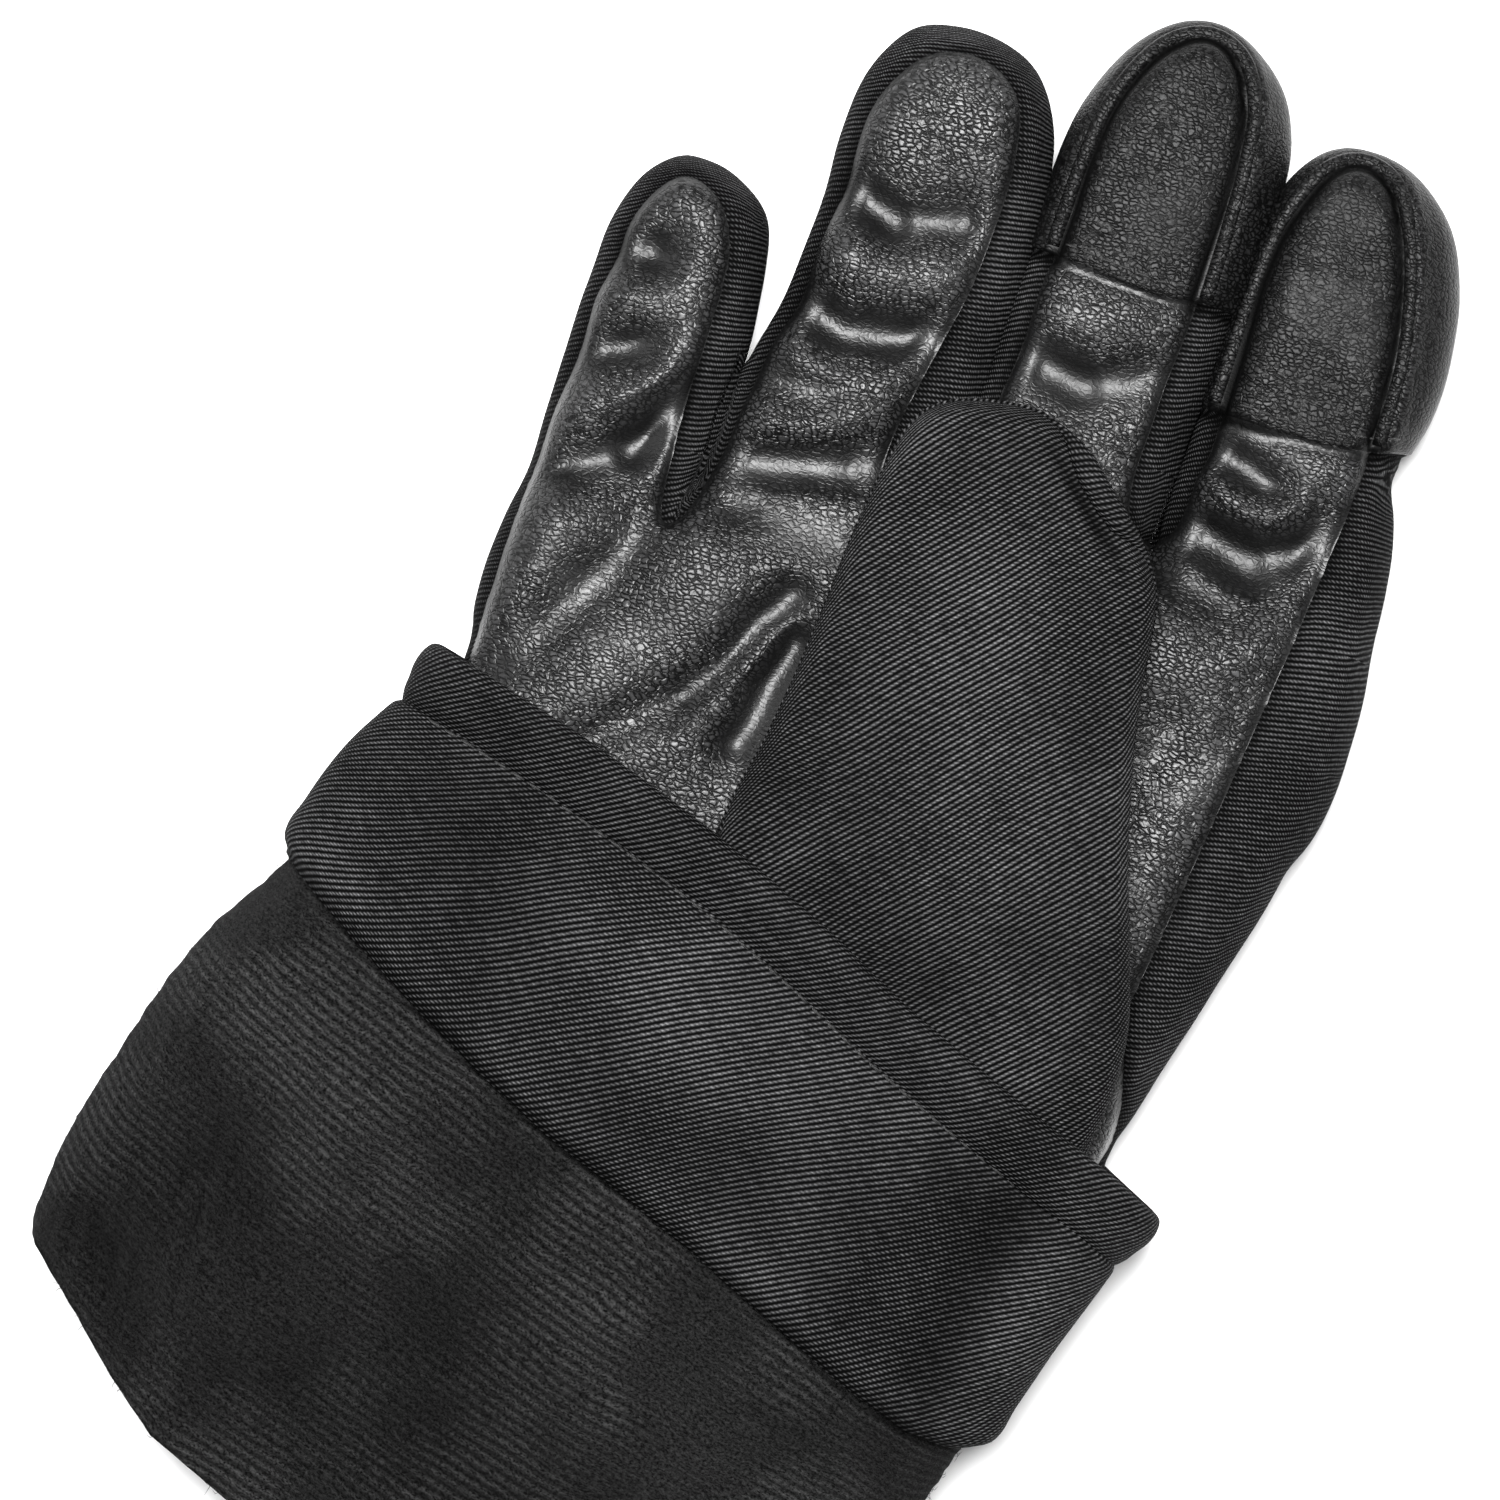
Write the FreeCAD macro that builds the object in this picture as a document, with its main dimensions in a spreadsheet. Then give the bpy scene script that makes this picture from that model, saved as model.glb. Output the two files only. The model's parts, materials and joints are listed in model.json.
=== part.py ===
"""Right-hand ski glove, palm up, with its cuff turned back and its lining pulled out.

The glove lies on its back on z = 0, fingertips towards +Y and the index finger
towards +X.  Every finger is cut at its middle joint and its tip joint, and the
thumb, folded over the palm, is cut at its root, so that each stretch between
two folds is a rigid body.  All lengths are millimetres.
"""
import FreeCAD, Part
import math
import os

import Sketcher
from FreeCAD import Rotation, Vector

DIMENSIONS = {
    # the row frame: the assembly is drawn about the wrist and then moved
    "shift_x": 21.865, "shift_y": 17.551,
    # hand and finger pillows
    "palm_thick": 28.0, "finger_thick": 25.0, "edge_round": 9.0, "corner_round": 9.6,
    "tip_round": 11.0, "back_line": 8.0,
    # layers, each measured inward from the outer face
    "shell_wall": 1.6, "padding_out": 1.9, "padding_in": 4.4,
    "lining_out": 4.7, "lining_in": 6.2, "finger_lining_out": 1.9, "finger_lining_in": 5.2,
    # finger folds
    "fold_gap": 0.6, "fold_depth": 4.0, "middle_fold_half": 42.0, "tip_fold_half": 32.0,
    "panel_side": 5.0, "welt_width": 2.4,
    # thumb, lying on the palm
    "thumb_low": 28.6, "thumb_high": 50.0, "thumb_round": 8.0, "thumb_corner": 9.0,
    "thumb_fold": -13.0, "thumb_fold_half": 41.0, "thumb_seam_low": 37.5, "thumb_seam_high": 41.0,
    "mound_end": 1.2,
    # cuff, a flattened tube turned by cuff_tilt about the vertical
    "cuff_x": -6.2, "cuff_y": -34.0, "cuff_tilt": -17.7, "cuff_width": 155.0,
    "hem_high": 44.0, "hem_length": 8.0, "hem_wall": 4.0, "cuff_round": 18.0,
    "facing_low": 0.8, "facing_high": 42.0, "facing_wall": 1.6, "facing_left": 39.0,
    "facing_right": 47.0, "facing_inset": 0.5, "facing_slope": 1.2,
    "cuff_gap": 0.3, "cuff_shell_wall": 1.4, "band_near": 2.0, "band_far": 60.0,
    "cuff_lining_high": 40.0, "cuff_lining_wall": 3.0, "cuff_lining_near": 30.0,
    "cuff_lining_end": 138.0, "cuff_lining_half": 80.0,
    # what runs down from the hand into the cuff
    "elastic_start": 2.0, "elastic_end": 14.0, "neck_start": 1.0, "neck_end": 38.0,
    "neck_gap": 0.5, "hand_start": 0.8,
    # the hollow that joins the thumb to the hand
    "passage_x": -8.0, "passage_y": -34.0, "passage_z": 12.0,
    "passage_length": 30.0, "passage_width": 15.0, "passage_height": 24.0,
    # stitches
    "stitch_pitch": 3.3, "stitch_long": 2.5, "stitch_radius": 0.4, "stitch_lift": 0.45,
    "cap_stitch_rise": 5.5, "cuff_stitch_drop": 3.5,
}
CAP_STITCHES = 5
CUFF_STITCHES = 32

# name: centre x, base y, tip y, half width at the base, half width at the tip,
# middle fold y, tip fold y, has a separate touch cap
FINGERS = {
    "pinky": (-62.0, 0.0, 83.5, 14.2, 12.6, 46.0, 64.0, False),
    "ring": (-26.0, 5.0, 118.5, 18.0, 16.2, 64.5, 86.0, False),
    "middle": (10.6, 5.0, 133.0, 17.6, 16.2, 69.0, 88.5, True),
    "index": (46.8, 10.0, 121.5, 18.4, 16.4, 50.0, 74.5, True),
}

PALM_OUTLINE = [(-76, -80), (-76, 20.5), (14, 45), (59, 47.6), (67, 36), (68, 15),
                (63, -15), (50, -80)]
PALM_LEATHER_OUTLINE = [(-73, -80), (-73, 20), (-58, 40), (56, 62), (55, 45), (54, 25),
                        (52, 0), (50, -25), (46, -80)]
THUMB_OUTLINE = [(-24, -24), (-20.5, 35), (-16, 53), (-6, 60.5), (10, 60.5), (22, 50),
                 (32, 30), (42, -2), (51, -34), (46, -54)]
CUFF_LINING_OUTLINE = [(-77.6, -39.8), (77.6, -47.8), (76, -80), (73, -112), (40, -128),
                       (-19, -133), (-60, -124), (-75, -112), (-80, -84), (-80, -59)]
# strips, from the little finger's edge to the index finger's edge, that part the side wall
SIDE_STRIPS = {
    "pinky_side_panel": (-90, -62), "fourchette_pinky_ring": (-62, -26),
    "fourchette_ring_middle": (-26, 10), "fourchette_middle_index": (10, 47),
    "index_side_panel": (47, 90),
}
# the limits of the plain prisms and slabs that pick out regions
FAR = 200.0
REGION_LOW = -10.0
REGION_HIGH = 100.0

doc = FreeCAD.newDocument("ski_glove")
sheet = doc.addObject("Spreadsheet::Sheet", "dims")
for row, (alias, value) in enumerate(DIMENSIONS.items(), start=1):
    sheet.set(f"A{row}", alias)
    sheet.set(f"B{row}", str(value))
    sheet.setAlias(f"B{row}", alias)
doc.recompute()

pieces = []


def size(alias):
    """The value of one cell, for the few shapes that code has to place."""
    return float(sheet.get(alias))


def bind(obj, **expressions):
    for prop, expression in expressions.items():
        obj.setExpression(prop, expression)


def place(obj, x="0", y="0", z="0"):
    obj.setExpression(".Placement.Base.x", x)
    obj.setExpression(".Placement.Base.y", y)
    obj.setExpression(".Placement.Base.z", z)
    return obj


def inset_direction(points, index):
    """How far a corner moves in x and y when both its sides move inward by 1."""
    (ax, ay), (bx, by) = points[index - 1], points[index]
    cx, cy = points[(index + 1) % len(points)]
    first = Vector(bx - ax, by - ay, 0).normalize()
    second = Vector(cx - bx, cy - by, 0).normalize()
    area = sum(p[0] * q[1] - q[0] * p[1] for p, q in zip(points, points[1:] + points[:1]))
    turn = 1 if area > 0 else -1
    normals = [Vector(-d.y * turn, d.x * turn, 0) for d in (first, second)]
    bisector = (normals[0] + normals[1]).normalize()
    reach = 1 / bisector.dot(normals[0])
    return bisector.x * reach, bisector.y * reach


def outline_sketch(body, points, inset="0", role="XY_Plane"):
    """A closed outline whose corners are driven by expressions."""
    sketch = body.newObject("Sketcher::SketchObject", body.Name + "_outline")
    plane = [item for item in body.Origin.OriginFeatures if item.Role == role][0]
    sketch.AttachmentSupport = [(plane, "")]
    sketch.MapMode = "FlatFace"
    corners = []
    for index, (x, y) in enumerate(points):
        if isinstance(x, str) or isinstance(y, str):
            corners.append((str(x), str(y)))
            continue
        dx, dy = inset_direction(points, index)
        corners.append((f"{x} + ({dx:.4f}) * ({inset})", f"{y} + ({dy:.4f}) * ({inset})"))
    values = [tuple(float(sheet.evalExpression(part)) for part in corner) for corner in corners]
    count = len(values)
    for index in range(count):
        start, end = values[index], values[(index + 1) % count]
        sketch.addGeometry(Part.LineSegment(Vector(*start, 0), Vector(*end, 0)))
    for index in range(count):
        sketch.addConstraint(Sketcher.Constraint("Coincident", index, 2, (index + 1) % count, 1))
    for index in range(count):
        for kind, axis in (("DistanceX", 0), ("DistanceY", 1)):
            constraint = Sketcher.Constraint(kind, -1, 1, index, 1, values[index][axis])
            number = sketch.addConstraint(constraint)
            sketch.setExpression(f"Constraints[{number}]", corners[index][axis])
    return sketch


def padded_body(name, points, length, inset="0", role="XY_Plane", midplane=False):
    body = doc.addObject("PartDesign::Body", name)
    pad = body.newObject("PartDesign::Pad", name + "_pad")
    pad.Profile = outline_sketch(body, points, inset, role)
    pad.Midplane = midplane
    bind(pad, Length=length)
    doc.recompute()
    return body


def rounded(body, name, radius, wanted):
    """A fillet on every edge of the tip feature that wanted() picks."""
    base = body.Tip
    names = [f"Edge{n}" for n, edge in enumerate(base.Shape.Edges, start=1) if wanted(edge)]
    fillet = body.newObject("PartDesign::Fillet", f"{body.Name}_{name}")
    fillet.Base = (base, names)
    bind(fillet, Radius=radius)
    doc.recompute()


def is_upright(edge):
    box = edge.BoundBox
    return box.ZLength > 1 and box.XLength < 0.01 and box.YLength < 0.01


def is_flat(edge):
    return edge.BoundBox.ZLength < 0.001


def pillow(name, points, inset, low, high, corner, edge):
    """A pad with rounded corners and rims: the plain shape of a stuffed pocket."""
    body = padded_body(name, points, f"{high} - ({low}) - 2 * ({inset})", inset)
    rounded(body, "corners", f"{corner} - ({inset})", is_upright)
    rounded(body, "rims", f"{edge} - ({inset})", is_flat)
    return place(body, z=f"{low} + ({inset})")


def upright(name, points, low=REGION_LOW, high=REGION_HIGH):
    """A plain vertical prism that picks one region of a shell."""
    body = padded_body(name, points, str(high - low))
    return place(body, z=str(low))


def slab(name, low, high):
    """Everything between two heights."""
    box = doc.addObject("Part::Box", name)
    bind(box, Length=str(2 * FAR), Width=str(2 * FAR), Height=f"{high} - ({low})")
    return place(box, str(-FAR), str(-FAR), low)


def cut(name, base, tool):
    result = doc.addObject("Part::Cut", name)
    result.Base = base
    result.Tool = tool
    return result


def common(name, first, *others):
    result = doc.addObject("Part::MultiCommon", name)
    result.Shapes = [first, *others]
    return result


def fuse(name, *shapes):
    result = doc.addObject("Part::MultiFuse", name)
    result.Shapes = list(shapes)
    return result


def piece(label, shape):
    """Take a finished shape as the sub-part called label, moved to the row frame."""
    shape.Label = label
    place(shape, "dims.shift_x", "dims.shift_y")
    pieces.append(shape)
    return shape


# ---------------------------------------------------------------- folds

def fold_prism(name, start, end, axis_height):
    """The stretch between two folds, seen from the side, as a wide prism.

    start and end are (y, half angle) or None.  Below the fold's axis the end
    is upright, and above it the end leans back, so that the two sides of the
    crease close on each other when the joint is bent all the way.
    """
    top, bottom = str(REGION_HIGH), str(REGION_LOW)
    outline = []
    for side, fold in ((1, start), (-1, end)):
        if fold is None:
            edge = [(str(-side * FAR), bottom), (str(-side * FAR), top)]
        else:
            y, half = fold
            near = f"{y} + ({side}) * dims.fold_gap / 2"
            lean = f"({top} - ({axis_height})) * tan(({half}) * 1deg)"
            edge = [(near, bottom), (near, axis_height), (f"{near} + ({side}) * {lean}", top)]
        outline += edge if side == 1 else edge[::-1]
    return padded_body(name, outline, str(2 * FAR), role="YZ_Plane", midplane=True)


def finger_prisms(finger, middle_y, tip_y):
    axis = "dims.finger_thick - dims.fold_depth"
    middle = (str(middle_y), "dims.middle_fold_half")
    tip = (str(tip_y), "dims.tip_fold_half")
    return {
        "base": fold_prism(f"{finger}_base_prism", None, middle, axis),
        "middle": fold_prism(f"{finger}_middle_prism", middle, tip, axis),
        "tip": fold_prism(f"{finger}_tip_prism", tip, None, axis),
    }


# ---------------------------------------------------------------- fingers

def finger_outline(centre, base, tip, half_base, half_tip):
    return [(centre - half_base, base), (centre + half_base, base),
            (centre + half_tip, tip), (centre - half_tip, tip)]


def finger_pillow(name, spec, inset):
    outline = finger_outline(*spec[:5])
    return pillow(name, outline, inset, "0", "dims.finger_thick", "dims.tip_round",
                  "dims.edge_round")


def tongue(name, spec, inset):
    """The front panel's region: the finger's outline, drawn in by inset."""
    body = padded_body(name, finger_outline(*spec[:5]), str(REGION_HIGH), inset)
    rounded(body, "corners", f"dims.tip_round - ({inset})", is_upright)
    return place(body, z="dims.back_line")


def stitch_row(label, count, x, y, z, tilt=0.0):
    """A row of short thread bars, lying on the cloth along the row's direction."""
    shapes = []
    along = Rotation(Vector(0, 0, 1), tilt)
    for index in range(count):
        bar = doc.addObject("Part::Cylinder", f"{label}_{index}")
        bind(bar, Radius="dims.stitch_radius", Height="dims.stitch_long")
        step = (index - count / 2) * size("stitch_pitch")
        where = Vector(x, y, z) + along.multVec(Vector(step, 0, 0))
        bar.Placement = FreeCAD.Placement(where, along * Rotation(Vector(0, 1, 0), 90))
        shapes.append(bar)
    row = doc.addObject("Part::Compound", label)
    row.Links = shapes
    return piece(label, row)


def build_finger(finger, spec):
    """The two moving stretches of one finger; its base stretch goes to the hand."""
    middle_y, tip_y, has_cap = spec[5:]
    prisms = finger_prisms(finger, middle_y, tip_y)
    levels = {key: finger_pillow(f"{finger}_{key}", spec, f"dims.{key}")
              for key in ("shell_wall", "padding_out", "padding_in", "lining_out", "lining_in",
                          "finger_lining_in")}
    outer = finger_pillow(f"{finger}_outer", spec, "0")
    panel = tongue(f"{finger}_panel_region", spec, "dims.panel_side")
    shell = cut(f"{finger}_shell", outer, levels["shell_wall"])
    lining = cut(f"{finger}_lining", levels["padding_out"], levels["finger_lining_in"])
    flank = slab(f"{finger}_flank_region", "dims.back_line", str(REGION_HIGH))
    back = slab(f"{finger}_back_region", str(REGION_LOW), "dims.back_line")
    for stretch in ("middle", "tip"):
        stem = f"{finger}_{stretch}"
        prism = prisms[stretch]
        stretch_shell = common(f"{stem}_shell", shell, prism)
        piece(f"{stem}_back", common(f"{stem}_back_cut", stretch_shell, back))
        front_name = "touch_cap" if has_cap and stretch == "tip" else f"{stretch}_front"
        piece(f"{finger}_{front_name}", common(f"{stem}_front_cut", stretch_shell, panel))
        wall = cut(f"{stem}_wall_cut", common(f"{stem}_flank", stretch_shell, flank), panel)
        if has_cap and stretch == "tip":
            rim = tongue(f"{finger}_welt_region", spec, "dims.panel_side - dims.welt_width")
            piece(f"{finger}_cap_welt", common(f"{stem}_welt_cut", wall, rim))
            wall = cut(f"{stem}_side_cut", wall, rim)
        piece(f"{stem}_sides", wall)
        piece(f"{stem}_lining", common(f"{stem}_lining_cut", lining, prism))
    if has_cap:
        stitch_row(f"{finger}_cap_stitching", CAP_STITCHES, spec[0],
                   tip_y + size("cap_stitch_rise"), size("finger_thick") + size("stitch_lift"))
    levels["outer"] = outer
    return levels, prisms["base"], panel


# ---------------------------------------------------------------- cuff

def cuff_place(obj, u, v, z):
    """Put an object at (u, v) of the cuff's own axes: u across, v to the fingers."""
    obj.setExpression(".Placement.Rotation.Axis.x", "0")
    obj.setExpression(".Placement.Rotation.Axis.y", "0")
    obj.setExpression(".Placement.Rotation.Axis.z", "1")
    obj.setExpression(".Placement.Rotation.Angle", "dims.cuff_tilt * 1deg")
    turn = "(dims.cuff_tilt * 1deg)"
    return place(obj, f"dims.cuff_x + ({u}) * cos({turn}) - ({v}) * sin({turn})",
                 f"dims.cuff_y + ({u}) * sin({turn}) + ({v}) * cos({turn})", z)


def flat_tube_core(name, half_width, low, high, near, far, radius):
    """A flattened round bar lying along the cuff, from v = -far to v = -near."""
    box = doc.addObject("Part::Box", name + "_box")
    bind(box, Length=f"2 * ({half_width})", Width=f"({far}) - ({near})",
         Height=f"({high}) - ({low})")
    doc.recompute()
    core = doc.addObject("Part::Fillet", name)
    core.Base = box
    radius_now = float(sheet.evalExpression(radius))
    core.Edges = [(n, radius_now, radius_now) for n, edge in enumerate(box.Shape.Edges, start=1)
                  if edge.BoundBox.YLength > 0.5 and edge.BoundBox.XLength < 0.01
                  and edge.BoundBox.ZLength < 0.01]
    doc.recompute()
    return cuff_place(core, f"-({half_width})", f"-({far})", low)


def flat_tube(name, half_width, low, high, near, far, radius, wall):
    outer = flat_tube_core(name + "_outer", half_width, low, high, near, far, radius)
    inner = flat_tube_core(name + "_inner", f"{half_width} - ({wall})", f"{low} + ({wall})",
                           f"{high} - ({wall})", f"{near} - 5", f"{far} + 5",
                           f"{radius} - ({wall})")
    return cut(name, outer, inner)


def cuff_region(name, points):
    return cuff_place(upright(name, points), "0", "0", str(REGION_LOW))


def build_facing(top):
    """The turned-back band of outer cloth, and the cloth that it doubles back over."""
    half = "dims.cuff_width / 2 - dims.facing_inset"
    slope = size("facing_slope")
    left, right = -size("facing_left") + slope, -size("facing_right") - slope
    slanted = [(-FAR / 2, top), (FAR / 2, top), (FAR / 2, right), (-FAR / 2, left)]
    band = flat_tube("facing_tube", half, "dims.facing_low", "dims.facing_high",
                     "dims.band_near", "dims.band_far", "dims.cuff_round", "dims.facing_wall")
    piece("cuff_facing", common("facing_cut", band, cuff_region("facing_region", slanted)))
    under = "(dims.facing_wall + dims.cuff_gap)"
    inner = flat_tube("cuff_shell_tube", f"{half} - {under}", f"dims.facing_low + {under}",
                      f"dims.facing_high - {under}", "dims.band_near", "dims.band_far",
                      f"dims.cuff_round - {under}", "dims.cuff_shell_wall")
    region = cuff_region("cuff_shell_region", slanted)
    piece("cuff_shell", common("cuff_shell_cut", inner, region))


def build_cuff():
    hem = flat_tube("hem", "dims.cuff_width / 2", "0", "dims.hem_high", "0", "dims.hem_length",
                    "dims.cuff_round + 2", "dims.hem_wall")
    piece("cuff_hem_roll", hem)
    top = -(size("hem_length") + 0.4)
    build_facing(top)
    lining = flat_tube("cuff_lining_tube", "dims.cuff_lining_half", "0", "dims.cuff_lining_high",
                       "dims.cuff_lining_near", "dims.cuff_lining_end", "dims.cuff_round",
                       "dims.cuff_lining_wall")
    region = cuff_region("cuff_lining_region", CUFF_LINING_OUTLINE)
    piece("cuff_lining", common("cuff_lining_cut", lining, region))
    turn = Rotation(Vector(0, 0, 1), size("cuff_tilt"))
    step = Vector(0, top - size("cuff_stitch_drop"), 0)
    row = Vector(size("cuff_x"), size("cuff_y"), 0) + turn.multVec(step)
    stitch_row("cuff_stitching", CUFF_STITCHES, row.x, row.y,
               size("facing_high") + size("stitch_lift"), size("cuff_tilt"))


# ---------------------------------------------------------------- hand

def above_line(name, start, end=FAR):
    """The region between two lines across the hand, measured up from the hem."""
    points = [(-FAR, start), (FAR, start), (FAR, end), (-FAR, end)]
    return cuff_region(name, points)


def thumb_passage(name):
    """The opening through which the thumb's stall meets the hand's."""
    hole = doc.addObject("Part::Box", name)
    bind(hole, Length="dims.passage_length", Width="dims.passage_width",
         Height="dims.passage_height")
    return place(hole, "dims.passage_x", "dims.passage_y", "dims.passage_z")


def lining_reach():
    """Where the hand's lining may be: above the hem, and inside it further down."""
    wall = "(dims.hem_wall + dims.neck_gap)"
    neck = flat_tube_core("neck", f"dims.cuff_width / 2 - {wall}", wall,
                          f"dims.hem_high - {wall}", "-(dims.neck_start)", "dims.neck_end",
                          f"dims.cuff_round + 2 - {wall}")
    return fuse("lining_region", neck, above_line("lining_upper", size("hand_start")))


def build_hand(fingers):
    def joined(key, edge):
        palm = pillow(f"palm_{key}", PALM_OUTLINE, edge, "0", "dims.palm_thick",
                      "dims.corner_round", "dims.edge_round")
        bases = [common(f"{name}_base_{key}", levels[key], prism)
                 for name, (levels, prism, _) in fingers.items()]
        return fuse(f"hand_{key}", palm, *bases)

    def hollow(key):
        """An inner level: it runs on through the fold planes, so the ends stay open."""
        palm = pillow(f"palm_{key}", PALM_OUTLINE, f"dims.{key}", "0", "dims.palm_thick",
                      "dims.corner_round", "dims.edge_round")
        return fuse(f"hand_{key}", palm, *[levels[key] for levels, _, _ in fingers.values()])

    passage = thumb_passage("thumb_passage")
    shell = cut("hand_shell_all", joined("outer", "0"), hollow("shell_wall"))
    shell = common("hand_shell_trimmed", shell, above_line("hand_region", size("hand_start")))
    shell = cut("hand_shell", shell, passage)
    back = slab("hand_back_region", str(REGION_LOW), "dims.back_line")
    piece("hand_back", common("hand_back_cut", shell, back))
    leather = upright("palm_leather_region", PALM_LEATHER_OUTLINE, size("back_line"))
    leather = fuse("leather_region", leather, *[panel for _, _, panel in fingers.values()])
    piece("palm_leather", common("palm_leather_cut", shell, leather))
    flank = slab("hand_flank_region", "dims.back_line", str(REGION_HIGH))
    wall = cut("side_wall", common("hand_flank", shell, flank), leather)
    for label, (low, high) in SIDE_STRIPS.items():
        strip = upright(f"{label}_region", [(low, -FAR), (high, -FAR), (high, FAR), (low, FAR)])
        piece(label, common(f"{label}_cut", wall, strip))
    layer = cut("padding_layer", joined("padding_out", "dims.padding_out"), hollow("padding_in"))
    layer = cut("padding_holed", layer, passage)
    start, end = size("elastic_start"), size("elastic_end")
    piece("hand_padding", common("padding_cut", layer, above_line("padding_region", end + 1)))
    piece("wrist_elastic", common("elastic_cut", layer, above_line("elastic_region", start, end)))
    layer = cut("lining_layer", joined("lining_out", "dims.lining_out"), hollow("lining_in"))
    layer = cut("lining_holed", layer, passage)
    piece("hand_lining", common("lining_cut", layer, lining_reach()))


# ---------------------------------------------------------------- thumb

def build_thumb():
    def level(name, inset):
        return pillow(name, THUMB_OUTLINE, inset, "dims.thumb_low", "dims.thumb_high",
                      "dims.thumb_corner", "dims.thumb_round")

    fold = ("dims.thumb_fold", "dims.thumb_fold_half")
    axis = "dims.thumb_high - dims.fold_depth"
    moving = fold_prism("thumb_prism", fold, None, axis)
    fixed = fold_prism("mound_prism", None, fold, axis)
    shell = cut("thumb_shell", level("thumb_outer", "0"), level("thumb_inner", "dims.shell_wall"))
    lining = cut("thumb_lining_layer", level("thumb_lining_outer", "dims.finger_lining_out"),
                 level("thumb_lining_inner", "dims.finger_lining_in"))
    bands = {
        "thumb_front": ("0", "dims.thumb_seam_low"),
        "thumb_welt": ("dims.thumb_seam_low", "dims.thumb_seam_high"),
        "thumb_back": ("dims.thumb_seam_high", str(REGION_HIGH)),
    }
    for label, (low, high) in bands.items():
        band = slab(f"{label}_region", low, high)
        piece(label, common(f"{label}_cut", shell, moving, band))
    piece("thumb_lining", common("thumb_lining_cut", lining, moving))
    passage = thumb_passage("mound_passage")
    mound = common("mound_shell", shell, fixed, above_line("mound_region", size("mound_end")))
    piece("thumb_gusset", cut("mound_cut", mound, passage))
    mound = common("mound_lining", lining, fixed, above_line("mound_lining_region", size("mound_end") + 0.8))
    piece("thumb_gusset_lining", cut("mound_lining_cut", mound, passage))


def check_and_write():
    doc.recompute()
    for obj in doc.Objects:
        if "Invalid" in obj.State or "Error" in obj.State:
            raise RuntimeError(f"{obj.Name} is {obj.State}")
    os.makedirs("parts", exist_ok=True)
    for obj in pieces:
        shape = obj.Shape
        if shape.isNull() or not shape.isValid() or not shape.Solids:
            raise RuntimeError(f"{obj.Label} has no valid solid")
        shape.exportStep(os.path.join("parts", obj.Label + ".step"))
        box = shape.BoundBox
        print(f"{obj.Label:26s} solids {len(shape.Solids):2d}  volume {shape.Volume / 1000:8.2f} cm3"
              f"  x {box.XMin:7.1f} {box.XMax:7.1f}  y {box.YMin:7.1f} {box.YMax:7.1f}"
              f"  z {box.ZMin:5.1f} {box.ZMax:5.1f}")


built = {name: build_finger(name, spec) for name, spec in FINGERS.items()}
build_hand(built)
build_thumb()
build_cuff()
check_and_write()
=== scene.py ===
"""The looks of a right-hand ski glove: soft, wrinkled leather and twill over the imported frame.

The stuffed shapes (hand, fingers, thumb) are level sets of a rounded field drawn from plan
outlines.  Each is cut along its seams into panels, then creased, puffed and pinched at the
seams, so that neighbouring panels share their edges.  The cuff is a set of flattened tubes.
Lengths in this script are millimetres until a mesh is made.
"""
import json
import math

import bpy
import numpy as np
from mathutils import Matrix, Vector, noise
from mathutils.bvhtree import BVHTree


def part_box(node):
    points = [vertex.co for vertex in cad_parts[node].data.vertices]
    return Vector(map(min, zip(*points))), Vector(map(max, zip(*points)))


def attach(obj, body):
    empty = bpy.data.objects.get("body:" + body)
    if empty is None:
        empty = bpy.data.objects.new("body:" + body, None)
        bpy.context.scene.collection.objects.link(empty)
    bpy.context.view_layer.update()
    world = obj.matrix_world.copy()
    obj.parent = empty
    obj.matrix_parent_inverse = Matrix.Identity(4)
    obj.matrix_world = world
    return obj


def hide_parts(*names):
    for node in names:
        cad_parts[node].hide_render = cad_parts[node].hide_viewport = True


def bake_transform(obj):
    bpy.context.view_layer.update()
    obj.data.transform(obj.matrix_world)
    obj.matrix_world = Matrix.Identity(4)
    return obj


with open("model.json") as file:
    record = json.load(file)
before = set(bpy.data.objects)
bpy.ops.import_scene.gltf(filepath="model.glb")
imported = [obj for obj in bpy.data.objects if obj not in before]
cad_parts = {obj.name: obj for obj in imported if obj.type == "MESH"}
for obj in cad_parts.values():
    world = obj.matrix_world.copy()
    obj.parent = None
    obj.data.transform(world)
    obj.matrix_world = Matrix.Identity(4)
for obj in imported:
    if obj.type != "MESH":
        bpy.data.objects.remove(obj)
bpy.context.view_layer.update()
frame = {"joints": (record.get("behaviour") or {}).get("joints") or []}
MM = 0.001
CELL = 0.9  # spacing of the sample points of the stuffed shapes
NEAR_CUT = 0.12 * CELL  # a corner this near a cut is taken to lie on it
HAND_INNER_CELL = 2.4
FINGER_INNER_CELL = 2.0

JOINTS = {joint["name"]: Vector(joint["pos_m"]) / MM for joint in frame["joints"]}
# the outlines are drawn about the wrist, where the thumb's fold crosses x 10, y -13
SHIFT = (JOINTS["thumb_lift"].x - 10.0, JOINTS["thumb_lift"].y + 13.0)

PALM_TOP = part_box("palm_leather")[1].z / MM
FINGER_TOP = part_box("ring_tip_sides")[1].z / MM + 0.9
THUMB_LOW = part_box("thumb_front")[0].z / MM
THUMB_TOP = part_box("thumb_back")[1].z / MM
BACK_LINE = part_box("hand_back")[1].z / MM

# ------------------------------------------------------------------ plan outlines, x and y

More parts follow.
